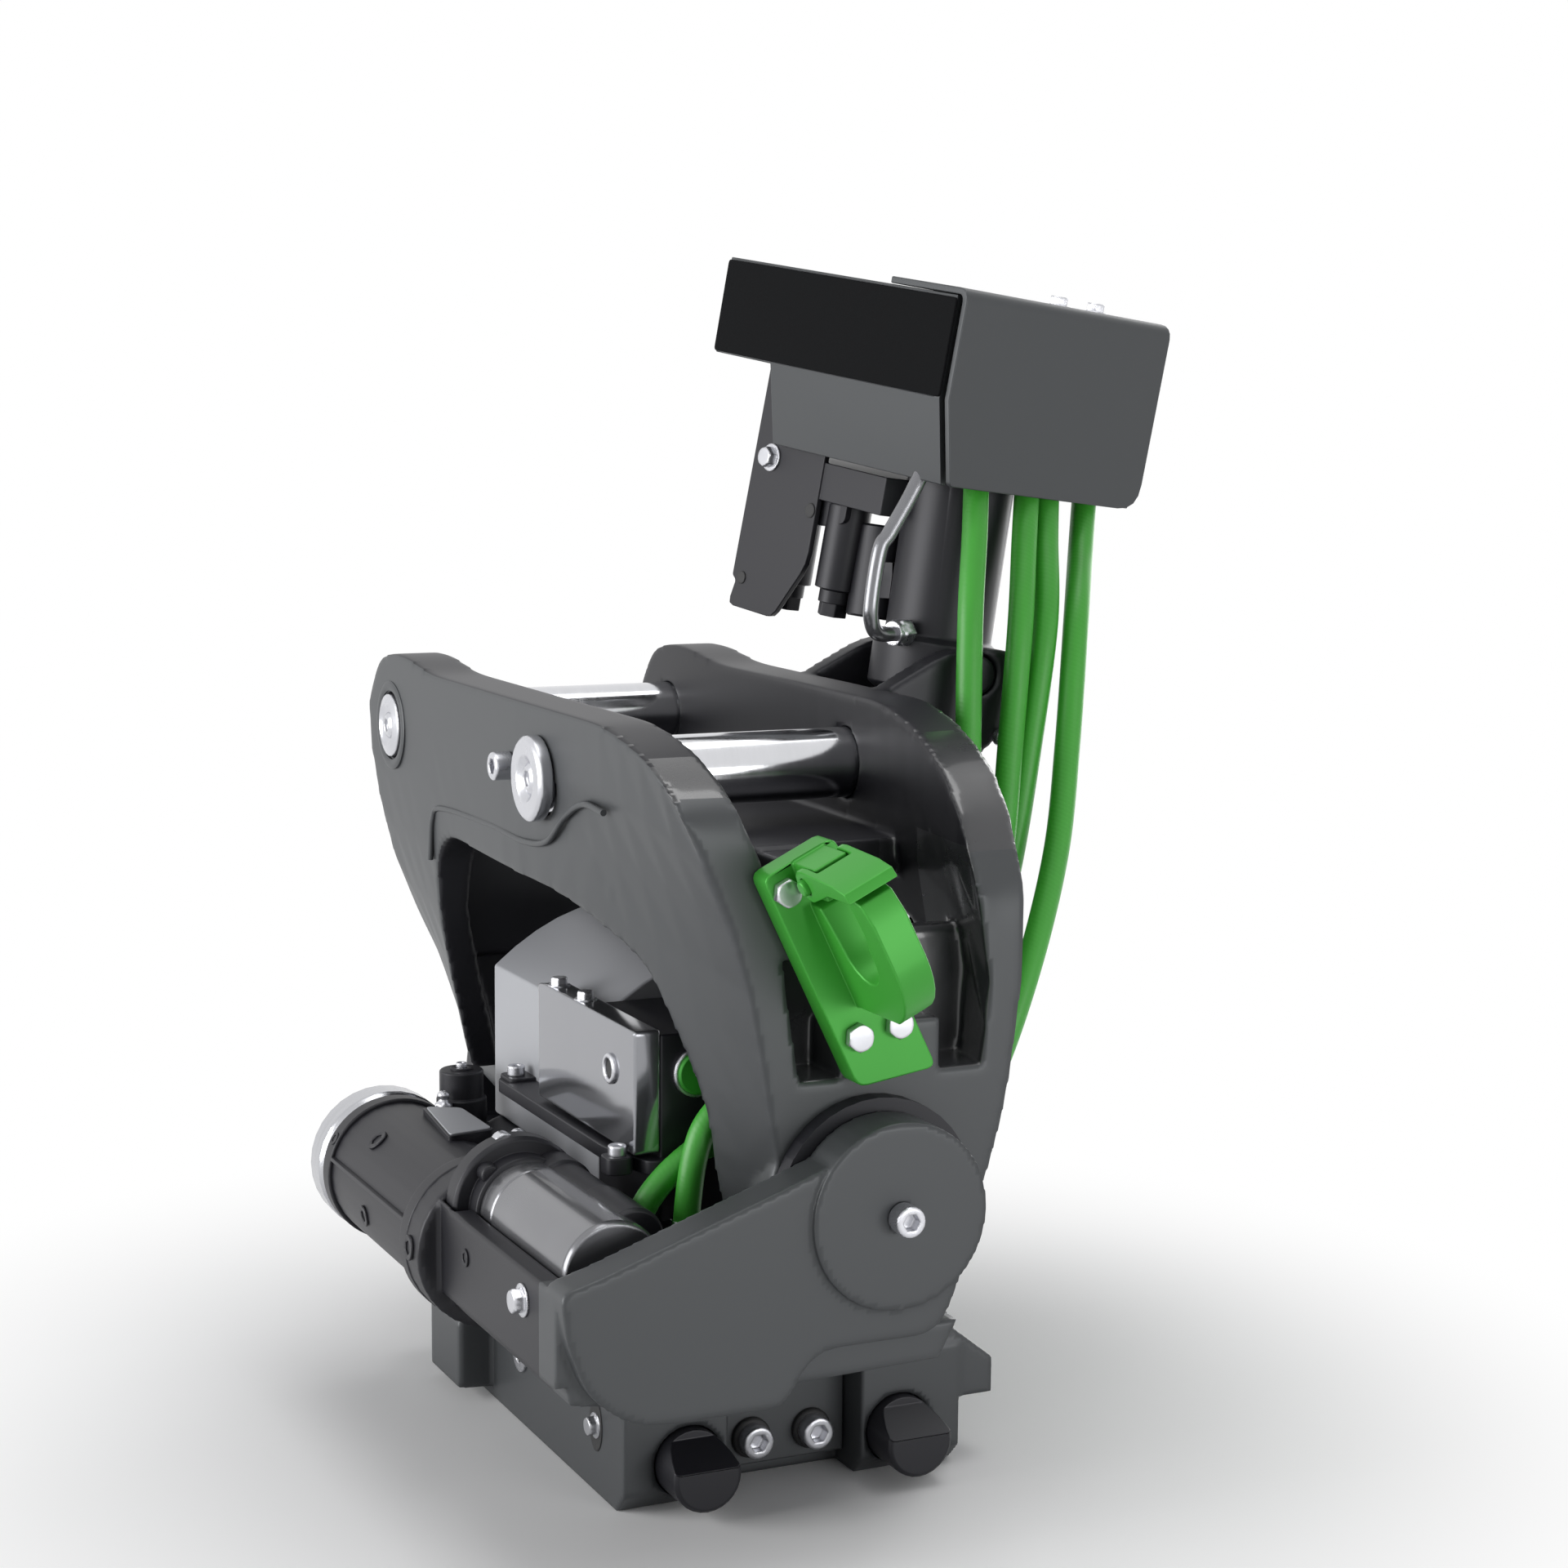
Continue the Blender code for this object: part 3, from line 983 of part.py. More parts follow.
def make_cover(barrel_body):
    """The sheet cover on the cylinder's head in two parts, the bracket plate and the valve on the barrel."""
    sheet, width, length, height = BOX_SHEET, BOX_WIDTH, BOX_LENGTH, BOX_HEIGHT
    front_end = 0.003
    rear = prism(cover_section(height, 1), "Y", front_end, BOX_SKIRT_LENGTH)
    join(rear, prism(cover_section(BOX_STRIP, 0), "Y", BOX_SKIRT_LENGTH - 0.001, length))
    end_x = (sheet / 2, width - sheet / 2)
    join(rear, box(end_x, (length - sheet, length - GAP), (-BOX_STRIP + 0.001, -sheet / 2)))
    left, right = front_end + 0.001, length - 0.001
    low, high = -BOX_STRIP + 0.0005, -0.0045
    strip = rounded([(left, low), (left, high), (right, high), (right, low)], 0.003, 2)
    join(rear, prism(strip, "X", -0.0015, sheet / 2))
    finish(boxed(rear), "head_cover", "paint", CYLINDER_PIVOT, barrel_body)

    bend = 0.006
    outer = sheet + GAP
    bent = rounded([(-outer, -height), (-outer, outer), (BOX_FLAP, outer)], [0, bend, 0], 4)
    inner = rounded([(BOX_FLAP, GAP), (-GAP, GAP), (-GAP, -height)], [0, bend - sheet, 0], 4)
    front = prism(bent + inner, "X", 0, width)
    face = rounded([(0, 0.02), (0, -BOX_STRIP), (BOX_TUCK, -height), (width, -height), (width, outer),
                    (width - 0.008, 0.02)], [0, 0, 0.002, 0.012, 0.007, 0], 4)
    combine(front, [prism(face, "Y", -0.02, BOX_FLAP + 0.01)], "INTERSECT")
    finish(boxed(front), "head_cover_front", "paint", CYLINDER_PIVOT, barrel_body)

    plate_x = (BOX_TUCK + 0.0045, BOX_TUCK + 0.0075)
    plate = rounded([(0.0885, -BOX_STRIP), (0.139, -BOX_STRIP), (0.141, -0.144), (0.138, -0.146),
                     (0.141, -0.158), (0.107, -0.158), (0.0885, -0.130)],
                    [0.001, 0.002, 0.001, 0.001, 0.004, 0.004, 0.006], 2)
    bracket = boxed(prism(plate, "X", *plate_x))
    arm = boxed(box((plate_x[0] + 0.001, 0.050), (0.045, 0.127), (-0.100, -0.083)))
    cut(arm, rod(BARREL_RADIUS + GAP, along_cylinder(0), along_cylinder(BARREL_ABOVE + 0.05), 36))
    join(bracket, arm)
    finish(bracket, "hose_bracket_plate", "black_paint", CYLINDER_PIVOT, barrel_body)

    toward = Vector((-0.55, 0.835, 0)).normalized()
    standoff = BARREL_RADIUS + GAP
    start = along_cylinder(VALVE_LOW) + toward * (standoff + VALVE_RADIUS)
    valve = rod(VALVE_RADIUS, start, start + CYLINDER_AXIS * VALVE_LENGTH, 24, 0.001)
    foot = box((-0.008, 0.008), (-0.004, VALVE_RADIUS), (0.010, VALVE_LENGTH - 0.016))
    turn = toward.to_track_quat("Y", "Z").to_matrix().to_4x4()
    foot.data.transform(Matrix.Translation(along_cylinder(VALVE_LOW) + toward * standoff) @ turn)
    join(valve, foot)
    cut(valve, rod(standoff, along_cylinder(COLLAR_HEIGHT / 2), along_cylinder(BARREL_ABOVE), 36))
    finish(valve, "counterbalance_valve", "black_paint", CYLINDER_PIVOT, barrel_body)


def smooth_route(points, count):
    """Points on a Catmull-Rom curve through the given ones."""
    knots = [Vector(p) for p in points]
    knots = [knots[0] * 2 - knots[1]] + knots + [knots[-1] * 2 - knots[-2]]
    spans = len(knots) - 3
    result = []
    for i in range(count + 1):
        place = min(i / count * spans, spans - 1e-6)
        k = int(place)
        t = place - k
        a, b, c, d = knots[k:k + 4]
        result.append(0.5 * (2 * b + (c - a) * t + (2 * a - 5 * b + 4 * c - d) * t * t
                             + (3 * b - a - 3 * c + d) * t * t * t))
    return result


def hose(name, points, radius, finish_name, parent, origin, count=26, resolution=2):
    """A hose or pipe along a smooth curve, with closed ends."""
    data = bpy.data.curves.new(name, "CURVE")
    data.dimensions = "3D"
    data.bevel_depth = radius
    data.bevel_resolution = resolution
    data.use_fill_caps = True
    route = smooth_route(points, count)
    spline = data.splines.new("POLY")
    spline.points.add(len(route) - 1)
    shift = Vector(origin)
    for point, place in zip(spline.points, route):
        point.co = (*(place - shift), 1)
    data.materials.append(make_material(name, finish_name))
    item = bpy.data.objects.new(name, data)
    bpy.context.scene.collection.objects.link(item)
    item.parent = parent
    item.location = shift - parent.matrix_world.translation
    return item


SUPPLY_HOSES = [
    [(0.1290, -0.0240, 0.4060), (0.1230, -0.0340, 0.3800), (0.1150, -0.0460, 0.3450),
     (0.1100, -0.0550, 0.2940), (0.1050, -0.0650, 0.2480), (0.0970, -0.0780, 0.2100),
     (0.0870, -0.0900, 0.1860), (0.0760, -0.0980, 0.1770), (0.0640, -0.1000, 0.1745)],
    [(0.1570, -0.0195, 0.4020), (0.1500, -0.0300, 0.3780), (0.1400, -0.0455, 0.3430),
     (0.1320, -0.0530, 0.2930), (0.1230, -0.0620, 0.2460), (0.1090, -0.0710, 0.2020),
     (0.0940, -0.0770, 0.1680), (0.0790, -0.0800, 0.1565), (0.0640, -0.0805, 0.1550)],
    [(0.1690, -0.0160, 0.4000), (0.1640, -0.0245, 0.3780), (0.1545, -0.0420, 0.3420),
     (0.1440, -0.0485, 0.2910), (0.1330, -0.0520, 0.2380), (0.1170, -0.0570, 0.1880),
     (0.0990, -0.0610, 0.1500), (0.0800, -0.0620, 0.1365), (0.0640, -0.0620, 0.1355)],
    [(0.1930, -0.0085, 0.3970), (0.1840, -0.0210, 0.3720), (0.1690, -0.0435, 0.3420),
     (0.1580, -0.0570, 0.2900), (0.1450, -0.0710, 0.2450), (0.1230, -0.0865, 0.1980),
     (0.1000, -0.0960, 0.1560), (0.0810, -0.0990, 0.1385), (0.0640, -0.0990, 0.1365)],
]
MOTOR_HOSES = [
    [(-0.0200, -0.1225, 0.1755), (-0.0215, -0.1300, 0.1755), (-0.0340, -0.1372, 0.1735),
     (-0.0500, -0.1380, 0.1580), (-0.0560, -0.1380, 0.1280), (-0.0560, -0.1370, 0.0935)],
    [(-0.0150, -0.1272, 0.1450), (-0.0290, -0.1272, 0.1490), (-0.0430, -0.1272, 0.1500),
     (-0.0570, -0.1272, 0.1420), (-0.0690, -0.1270, 0.1290), (-0.0745, -0.1265, 0.1130),
     (-0.0755, -0.1265, 0.0935)],
]


def make_hoses(root, tilt):
    """Supply hoses from the cover to the valve block, and the short ones down to the motor's channel."""
    for i, points in enumerate(SUPPLY_HOSES):
        hose("supply_hose_%d" % (i + 1), points, HOSE_RADIUS, "green_paint", root, (0, 0, 0))
    for points, word in zip(MOTOR_HOSES, ("upper", "lower")):
        hose("motor_hose_" + word, points, MOTOR_HOSE_RADIUS, "green_paint", tilt, TILT_AXIS, 20)


def hooked(item):
    """Move a shape from the hook plate's own directions to its place on the hitch's front."""
    turn = Matrix.Rotation(HOOK_TURN, 4, "Y")
    face = -(HITCH_FACE_Y + GAP)
    item.data.transform(Matrix.Translation((HOOK_X, face, HOOK_Z)) @ turn)
    return item


def make_hook(root, latch):
    """The bolted lifting hook: its plate and hook with the latch's pin, four bolts and the latch."""
    thick = HOOK_PLATE_THICKNESS
    plate = prism(rounded(HOOK_PLATE, 0.004, 3), "Y", -thick, 0)
    half = HOOK_THICKNESS / 2
    base = -thick + 0.002
    pin_y, pin_z = LATCH_PIN_PLACE
    tip = pin_z - 0.0015
    throat = tip - 0.027
    outline = [(base, throat - 0.028), (-0.024, throat - 0.028)]
    outline += arc((-0.036, throat - 0.002), 0.0275, 250, 180, 6)
    outline += [(-0.0630, tip - 0.011), (-0.0590, tip - 0.002), (-0.0530, tip), (-0.0490, tip - 0.004),
                (-0.0505, tip - 0.015)]
    outline += arc((-0.036, throat), 0.0125, 170, 360, 9)
    outline += [(-0.021, throat + 0.010), (-0.019, throat + 0.016), (base, throat + 0.018)]
    left, right = HOOK_SHIFT - half, HOOK_SHIFT + half
    hook = prism(outline, "X", left, right)
    boss = box((left, right), (pin_y - 0.006, base), (pin_z - 0.0075, pin_z + 0.006))
    body = join(plate, hook, boss)
    pin = arc(LATCH_PIN_PLACE, LATCH_PIN_RADIUS, 0, 330, 11)
    join(body, prism(pin, "X", left - 0.0055, right + 0.0055))
    finish(hooked(body), "lifting_hook", "green_paint", parent=root)
    for i, (x, z) in enumerate(HOOK_BOLTS):
        bolt = hooked(hex_bolt(HOOK_BOLT, (x, -thick - GAP, z), (0, 1, 0)))
        finish(bolt, "hook_bolt_%d" % (i + 1), "steel", parent=root)
    arm = arc(LATCH_PIN_PLACE, 0.0066, -100, 100, 6)
    arm += [(-0.0500, pin_z + 0.0050), (-0.0585, pin_z + 0.0030), (-0.0600, tip + 0.0006),
            (-0.0420, tip + 0.0006)]
    cheeks = prism(arm, "X", left - 0.0035, right + 0.0035)
    room = box((left - GAP * 2, right + GAP * 2), (pin_y - 0.0095, 0.02), (pin_z - 0.02, pin_z + 0.03))
    eye = arc(LATCH_PIN_PLACE, LATCH_PIN_RADIUS + GAP, 0, 330, 11)
    cut(cheeks, room, prism(eye, "X", left - 0.01, right + 0.01))
    finish(hooked(cheeks), "hook_latch", "green_paint", latch_hinge(), latch)


def latch_hinge():
    """Where the latch turns, on the hook's boss."""
    turn = Matrix.Rotation(HOOK_TURN, 4, "Y")
    return Vector((HOOK_X, -(HITCH_FACE_Y + GAP), HOOK_Z)) + (turn @ Vector((0, *LATCH_PIN_PLACE)))


def build():
    clear_scene()
    root = pivot("hitch_body", (0, 0, 0))
    tilt = pivot("gearbox_body", TILT_AXIS, root)
    rotor = pivot("rotor_body", (0, 0, 0), tilt)
    worm = pivot("worm_body", (WORM_X, 0, WORM_Z), tilt)
    lock = pivot("lock_body", (0, COUPLER_FRONT_Y + 0.060, LOCK_PIN_Z), rotor)
    barrel = pivot("cylinder_body", CYLINDER_PIVOT, root)
    rod_body = pivot("rod_body", ROD_PIN, barrel)
    latch = pivot("latch_body", latch_hinge(), root)
    make_hitch(root)
    make_pins(root)
    make_tilt_joint(root, tilt)
    make_housing(tilt)
    make_rotor(tilt, rotor)
    make_worm_drive(tilt, worm)
    make_valves(tilt)
    make_coupler(rotor)
    make_lock(rotor, lock)
    make_cylinder(tilt, barrel, rod_body)
    make_cover(barrel)
    make_hook(root, latch)
    make_hoses(root, tilt)


build()
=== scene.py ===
"""Dresses the packed tilt rotator: cast and painted skins, hoses, fittings and fasteners, and its stage."""

from math import cos, pi, radians, sin, tau

import bmesh
import bpy
import numpy as np
from bpy.props import FloatProperty, FloatVectorProperty, IntProperty, PointerProperty
from mathutils import Matrix, Vector


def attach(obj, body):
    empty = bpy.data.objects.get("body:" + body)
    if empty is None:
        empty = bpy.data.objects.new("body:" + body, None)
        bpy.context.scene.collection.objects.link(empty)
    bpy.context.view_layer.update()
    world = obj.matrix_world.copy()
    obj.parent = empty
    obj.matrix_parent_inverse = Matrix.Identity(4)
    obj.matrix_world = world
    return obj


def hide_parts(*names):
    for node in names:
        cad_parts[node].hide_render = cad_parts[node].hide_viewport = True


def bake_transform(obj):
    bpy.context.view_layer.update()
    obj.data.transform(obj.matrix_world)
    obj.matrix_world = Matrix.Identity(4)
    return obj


bl_info = {
    "name": "Tilt rotator dressing",
    "version": (1, 0, 0),
    "blender": (4, 5, 0),
    "location": "View3D > Sidebar > Tilt rotator",
    "description": "Paint, castings, hoses and fittings of an excavator tilt rotator",
    "category": "Object",
}

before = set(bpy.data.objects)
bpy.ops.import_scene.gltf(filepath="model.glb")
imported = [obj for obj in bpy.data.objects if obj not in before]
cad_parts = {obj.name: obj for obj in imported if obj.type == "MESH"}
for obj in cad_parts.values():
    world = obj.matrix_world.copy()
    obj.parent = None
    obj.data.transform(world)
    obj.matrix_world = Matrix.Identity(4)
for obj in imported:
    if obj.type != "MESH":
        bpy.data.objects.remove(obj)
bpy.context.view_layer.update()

# Places shared with the part's source, in metres
WORM_X, WORM_Z, TUBE_RADIUS = -0.110, 0.101, 0.030
MOTOR_AXIS_X, MOTOR_AXIS_Z, MOTOR_FACE_Y = -0.104, 0.121, -0.0713
PIN_Y, PIN_Z = (-0.043, 0.153), 0.286
PORT_PLACE, SIDE_PORT_PLACE, SHELF_LOW = (-0.045, -0.1206, 0.178), (-0.0709, -0.0962, 0.1765), 0.1392
COVER_PLACE = (Matrix.Translation((0.106, -0.051, 0.482)) @ Matrix.Rotation(radians(7.9), 4, "Y")
               @ Matrix.Rotation(radians(5.5), 4, "X") @ Matrix.Rotation(radians(13.3), 4, "Z"))
HOOK_PLACE = Matrix.Translation((-0.014, -0.1823, 0.2255)) @ Matrix.Rotation(radians(-26), 4, "Y")

SUPPLY_HOSES = [
    [(0.1290, -0.0240, 0.4060), (0.1230, -0.0340, 0.3800), (0.1150, -0.0460, 0.3450),
     (0.1100, -0.0550, 0.2940), (0.1050, -0.0650, 0.2480), (0.0970, -0.0780, 0.2100),
     (0.0870, -0.0900, 0.1860), (0.0760, -0.0980, 0.1770), (0.0640, -0.1000, 0.1745)],
    [(0.1570, -0.0195, 0.4020), (0.1500, -0.0300, 0.3780), (0.1400, -0.0455, 0.3430),
     (0.1320, -0.0530, 0.2930), (0.1230, -0.0620, 0.2460), (0.1090, -0.0710, 0.2020),
     (0.0940, -0.0770, 0.1680), (0.0790, -0.0800, 0.1565), (0.0640, -0.0805, 0.1550)],
    [(0.1690, -0.0160, 0.4000), (0.1640, -0.0245, 0.3780), (0.1545, -0.0420, 0.3420),
     (0.1440, -0.0485, 0.2910), (0.1330, -0.0520, 0.2380), (0.1170, -0.0570, 0.1880),
     (0.0990, -0.0610, 0.1500), (0.0800, -0.0620, 0.1365), (0.0640, -0.0620, 0.1355)],
    [(0.1930, -0.0085, 0.3970), (0.1840, -0.0210, 0.3720), (0.1690, -0.0435, 0.3420),
     (0.1580, -0.0570, 0.2900), (0.1450, -0.0710, 0.2450), (0.1230, -0.0865, 0.1980),
     (0.1000, -0.0960, 0.1560), (0.0810, -0.0990, 0.1385), (0.0640, -0.0990, 0.1365)],
]
HITCH_LINE = [(0.0990, 0.2310), (0.0950, 0.2500), (0.0814, 0.2565), (0.0165, 0.2584), (-0.0236, 0.2573),
              (-0.0504, 0.2612), (-0.0708, 0.2741), (-0.0905, 0.2816), (-0.1120, 0.2812)]
MOTOR_HOSES = {
    "motor_hose_upper": [(-0.0200, -0.1225, 0.1755), (-0.0215, -0.1300, 0.1755), (-0.0340, -0.1372, 0.1735),
                         (-0.0500, -0.1380, 0.1580), (-0.0560, -0.1380, 0.1280), (-0.0560, -0.1370, 0.0935)],
    "motor_hose_lower": [(-0.0150, -0.1272, 0.1450), (-0.0290, -0.1272, 0.1490), (-0.0430, -0.1272, 0.1500),
                         (-0.0570, -0.1272, 0.1420), (-0.0690, -0.1270, 0.1290), (-0.0745, -0.1265, 0.1130),
                         (-0.0755, -0.1265, 0.0935)],
}


class TiltRotatorFinish(bpy.types.PropertyGroup):
    """Colours and sizes that a user may change before making the pieces."""

    charcoal: FloatVectorProperty(name="Charcoal paint", description="Colour of the castings and the cover",
                                  subtype="COLOR", size=3, default=(0.054, 0.055, 0.061))
    black: FloatVectorProperty(name="Black paint", description="Colour of the cylinder, motor and brackets",
                               subtype="COLOR", size=3, default=(0.014, 0.0145, 0.016))
    green: FloatVectorProperty(name="Green", description="Colour of the hoses and the lifting hook",
                               subtype="COLOR", size=3, default=(0.048, 0.350, 0.030))
    plated: FloatVectorProperty(name="Plated steel", description="Colour of the zinc plated screws and discs",
                                subtype="COLOR", size=3, default=(0.600, 0.605, 0.640))
    edge_round: FloatProperty(name="Edge round", description="Radius on the machined and sheet edges",
                              unit="LENGTH", default=0.0006, min=0.0001, max=0.003)
    casting_grid: FloatProperty(name="Casting grid", description="Grid step that the castings are rounded on",
                                unit="LENGTH", default=0.0021, min=0.001, max=0.006)
    supply_hose_radius: FloatProperty(name="Supply hose radius", description="Radius of the four supply hoses",
                                      unit="LENGTH", default=0.0056, min=0.002, max=0.01)
    motor_hose_radius: FloatProperty(name="Motor hose radius", description="Radius of the two motor hoses",
                                     unit="LENGTH", default=0.0052, min=0.002, max=0.01)
    hose_sides: IntProperty(name="Hose sides", description="Faces around each hose", default=28, min=8, max=64)


def finish_of():
    return bpy.context.scene.tilt_rotator


# Shader work

class Bench:
    """Places nodes in a tree and joins them; a value that is a socket is linked, any other is set."""

    def __init__(self, tree):
        self.tree = tree

    def add(self, kind, inputs=None, **settings):
        node = self.tree.nodes.new(kind)
        for key, value in settings.items():
            setattr(node, key, value)
        for key, value in (inputs or {}).items():
            self.link(value, node.inputs[key])
        return node

    def link(self, value, socket):
        if isinstance(value, bpy.types.NodeSocket):
            self.tree.links.new(value, socket)
        else:
            socket.default_value = value

    def maths(self, operation, a, b=0.0):
        return self.add("ShaderNodeMath", {0: a, 1: b}, operation=operation).outputs[0]

    def blend(self, share, a, b):
        """A mix of two colours; 6 and 7 are the mix node's colour sockets, and 2 its colour result."""
        return self.add("ShaderNodeMix", {"Factor": share, 6: a, 7: b}, data_type="RGBA").outputs[2]


def new_group(name, inputs, outputs):
    """A shader node group with named sockets; returns its bench, what goes in and what comes out."""
    tree = bpy.data.node_groups.new(name, "ShaderNodeTree")
    for label, default in inputs:
        kind = "NodeSocketColor" if isinstance(default, tuple) else "NodeSocketFloat"
        tree.interface.new_socket(label, in_out="INPUT", socket_type=kind).default_value = default
    for label, kind in outputs:
        tree.interface.new_socket(label, in_out="OUTPUT", socket_type=kind)
    bench = Bench(tree)
    return bench, bench.add("NodeGroupInput").outputs, bench.add("NodeGroupOutput").inputs


def grain_group():
    """Orange peel and slow mottling of a coat, from Object coordinates."""
    if "Coat grain" in bpy.data.node_groups:
        return bpy.data.node_groups["Coat grain"]
    bench, given, result = new_group(
        "Coat grain", [("Fine scale", 900.0), ("Mottle scale", 28.0), ("Stretch X", 1.0), ("Stretch Y", 1.0),
                       ("Stretch Z", 1.0)],
        [("Fine", "NodeSocketFloat"), ("Mottle", "NodeSocketFloat")])
    place = bench.add("ShaderNodeTexCoord").outputs["Object"]
    stretch = bench.add("ShaderNodeCombineXYZ", {0: given["Stretch X"], 1: given["Stretch Y"],
                                                 2: given["Stretch Z"]}).outputs[0]
    stretched = bench.add("ShaderNodeVectorMath", {0: place, 1: stretch}, operation="MULTIPLY").outputs[0]
    fine = bench.add("ShaderNodeTexNoise", {"Vector": stretched, "Scale": given["Fine scale"],
                                            "Detail": 3.0, "Roughness": 0.6})
    mottle = bench.add("ShaderNodeTexNoise", {"Vector": stretched, "Scale": given["Mottle scale"],
                                              "Detail": 5.0, "Roughness": 0.62})
    bench.link(fine.outputs["Fac"], result["Fine"])
    bench.link(mottle.outputs["Fac"], result["Mottle"])
    return bench.tree


def edge_wear_and_highlight_group():
    """Where a coat has rubbed thin along edges, and the softened normal there."""
    if "Edge wear and highlight" in bpy.data.node_groups:
        return bpy.data.node_groups["Edge wear and highlight"]
    bench, given, result = new_group("Edge wear and highlight", [("Reach", 0.0012), ("Breakup scale", 180.0), ("Gain", 6.0)],
                                     [("Mask", "NodeSocketFloat"), ("Normal", "NodeSocketVector")])
    soft = bench.add("ShaderNodeBevel", {"Radius": given["Reach"]}, samples=4).outputs["Normal"]
    flat = bench.add("ShaderNodeNewGeometry").outputs["Normal"]
    alike = bench.add("ShaderNodeVectorMath", {0: soft, 1: flat}, operation="DOT_PRODUCT").outputs["Value"]
    bend = bench.maths("MULTIPLY", bench.maths("SUBTRACT", 1.0, alike), given["Gain"])
    place = bench.add("ShaderNodeTexCoord").outputs["Object"]
    spots = bench.add("ShaderNodeTexNoise", {"Vector": place, "Scale": given["Breakup scale"],
                                             "Detail": 4.0}).outputs["Fac"]
    broken = bench.maths("MULTIPLY", bend, bench.maths("MULTIPLY", spots, 1.5))
    mask = bench.add("ShaderNodeMapRange", {"Value": broken, "From Min": 0.12, "From Max": 0.65},
                     interpolation_type="SMOOTHSTEP").outputs[0]
    bench.link(mask, result["Mask"])
    bench.link(soft, result["Normal"])
    return bench.tree


def dust_group():
    """A thin film of dust on faces that look up."""
    if "Dust film" in bpy.data.node_groups:
        return bpy.data.node_groups["Dust film"]
    bench, given, result = new_group("Dust film", [("Scale", 45.0)], [("Mask", "NodeSocketFloat")])
    normal = bench.add("ShaderNodeNewGeometry").outputs["Normal"]
    upward = bench.add("ShaderNodeSeparateXYZ", {0: normal}).outputs["Z"]
    facing = bench.maths("MAXIMUM", upward, 0.0)
    place = bench.add("ShaderNodeTexCoord").outputs["Object"]
    cloud = bench.add("ShaderNodeTexNoise", {"Vector": place, "Scale": given["Scale"], "Detail": 6.0,
                                             "Roughness": 0.7}).outputs["Fac"]
    mask = bench.add("ShaderNodeMapRange", {"Value": bench.maths("MULTIPLY", facing, cloud), "From Min": 0.30,
                                            "From Max": 0.75}).outputs[0]
    bench.link(mask, result["Mask"])
    return bench.tree


def coat(name, colour, roughness, metallic=0.0, gloss=0.0, gloss_roughness=0.08, worn_and_highlit=(0.30, 0.30, 0.32),
         wear=0.25, dust=0.05, mottle=0.16, fine=900.0, depth=0.05, stretch=(1, 1, 1), spread=0.10, specular=0.5):
    """A painted, plated or machined finish with grain, edge wear and dust at their real scale."""
    if name in bpy.data.materials:
        return bpy.data.materials[name]
    material = bpy.data.materials.new(name)
    material.use_nodes = True
    bench = Bench(material.node_tree)
    shader = material.node_tree.nodes["Principled BSDF"]
    grain = bench.add("ShaderNodeGroup", node_tree=grain_group())
    for label, value in (("Fine scale", fine), ("Stretch X", stretch[0]), ("Stretch Y", stretch[1]),
                         ("Stretch Z", stretch[2])):
        grain.inputs[label].default_value = value
    edge = bench.add("ShaderNodeGroup", node_tree=edge_wear_and_highlight_group())
    film = bench.add("ShaderNodeGroup", node_tree=dust_group())
    deep = tuple(c * (1 - mottle) for c in colour) + (1.0,)
    pale = tuple(min(1.0, c * (1 + mottle)) for c in colour) + (1.0,)
    shade = bench.blend(grain.outputs["Mottle"], deep, pale)
    # The lighter edge colour is partly rubbed wear and partly a painted highlight along the edges.
    rubbed_and_highlit = bench.blend(bench.maths("MULTIPLY", edge.outputs["Mask"], wear), shade, (*worn_and_highlit, 1.0))
    dusty = bench.blend(bench.maths("MULTIPLY", film.outputs["Mask"], dust), rubbed_and_highlit, (0.30, 0.28, 0.25, 1.0))
    rough = bench.add("ShaderNodeMapRange", {"Value": grain.outputs["Mottle"], "From Min": 0.3, "From Max": 0.7,
                                             "To Min": max(0.02, roughness - spread / 2),
                                             "To Max": roughness + spread / 2}).outputs[0]
    bump = bench.add("ShaderNodeBump", {"Strength": depth, "Distance": 0.0004, "Height": grain.outputs["Fine"],
                                        "Normal": edge.outputs["Normal"]}).outputs["Normal"]
    for socket, value in (("Base Color", dusty), ("Roughness", rough), ("Normal", bump)):
        bench.link(value, shader.inputs[socket])
    shader.inputs["Metallic"].default_value = metallic
    shader.inputs["Specular IOR Level"].default_value = specular
    shader.inputs["Coat Weight"].default_value = gloss
    shader.inputs["Coat Roughness"].default_value = gloss_roughness
    return material


def charcoal_paint():
    # Its pale edge colour is partly worn paint and partly a painted highlight along the rims.
    return coat("charcoal_paint", tuple(finish_of().charcoal), 0.34, gloss=0.22, gloss_roughness=0.16,
                worn_and_highlit=(0.20, 0.20, 0.215), wear=0.5)


def black_paint():
    return coat("black_paint", tuple(finish_of().black), 0.34, gloss=0.25, gloss_roughness=0.08,
                worn_and_highlit=(0.12, 0.12, 0.13), wear=0.35, specular=0.15, dust=0.02)


# A half-dark copy of the charcoal: painted shade for the hitch's rims and front pocket, between the lit charcoal and
# the black inside.
def rim_painted_shade():
    between = tuple((c + b) / 2 for c, b in zip(finish_of().charcoal, finish_of().black))
    return coat("rim_painted_shade", between, 0.30, gloss=0.60, gloss_roughness=0.10, worn_and_highlit=(0.16, 0.16, 0.17), wear=0.4,
                specular=0.5, dust=0.02)


def green_paint():
    return coat("green_paint", tuple(finish_of().green), 0.42, gloss=0.15, gloss_roughness=0.25,
                worn_and_highlit=(0.10, 0.48, 0.06), wear=0.45, mottle=0.10)


def grey_paint():
    return coat("grey_paint", (0.36, 0.37, 0.40), 0.30, metallic=0.35, gloss=0.2, worn_and_highlit=(0.75, 0.75, 0.78),
                wear=0.4, mottle=0.08)


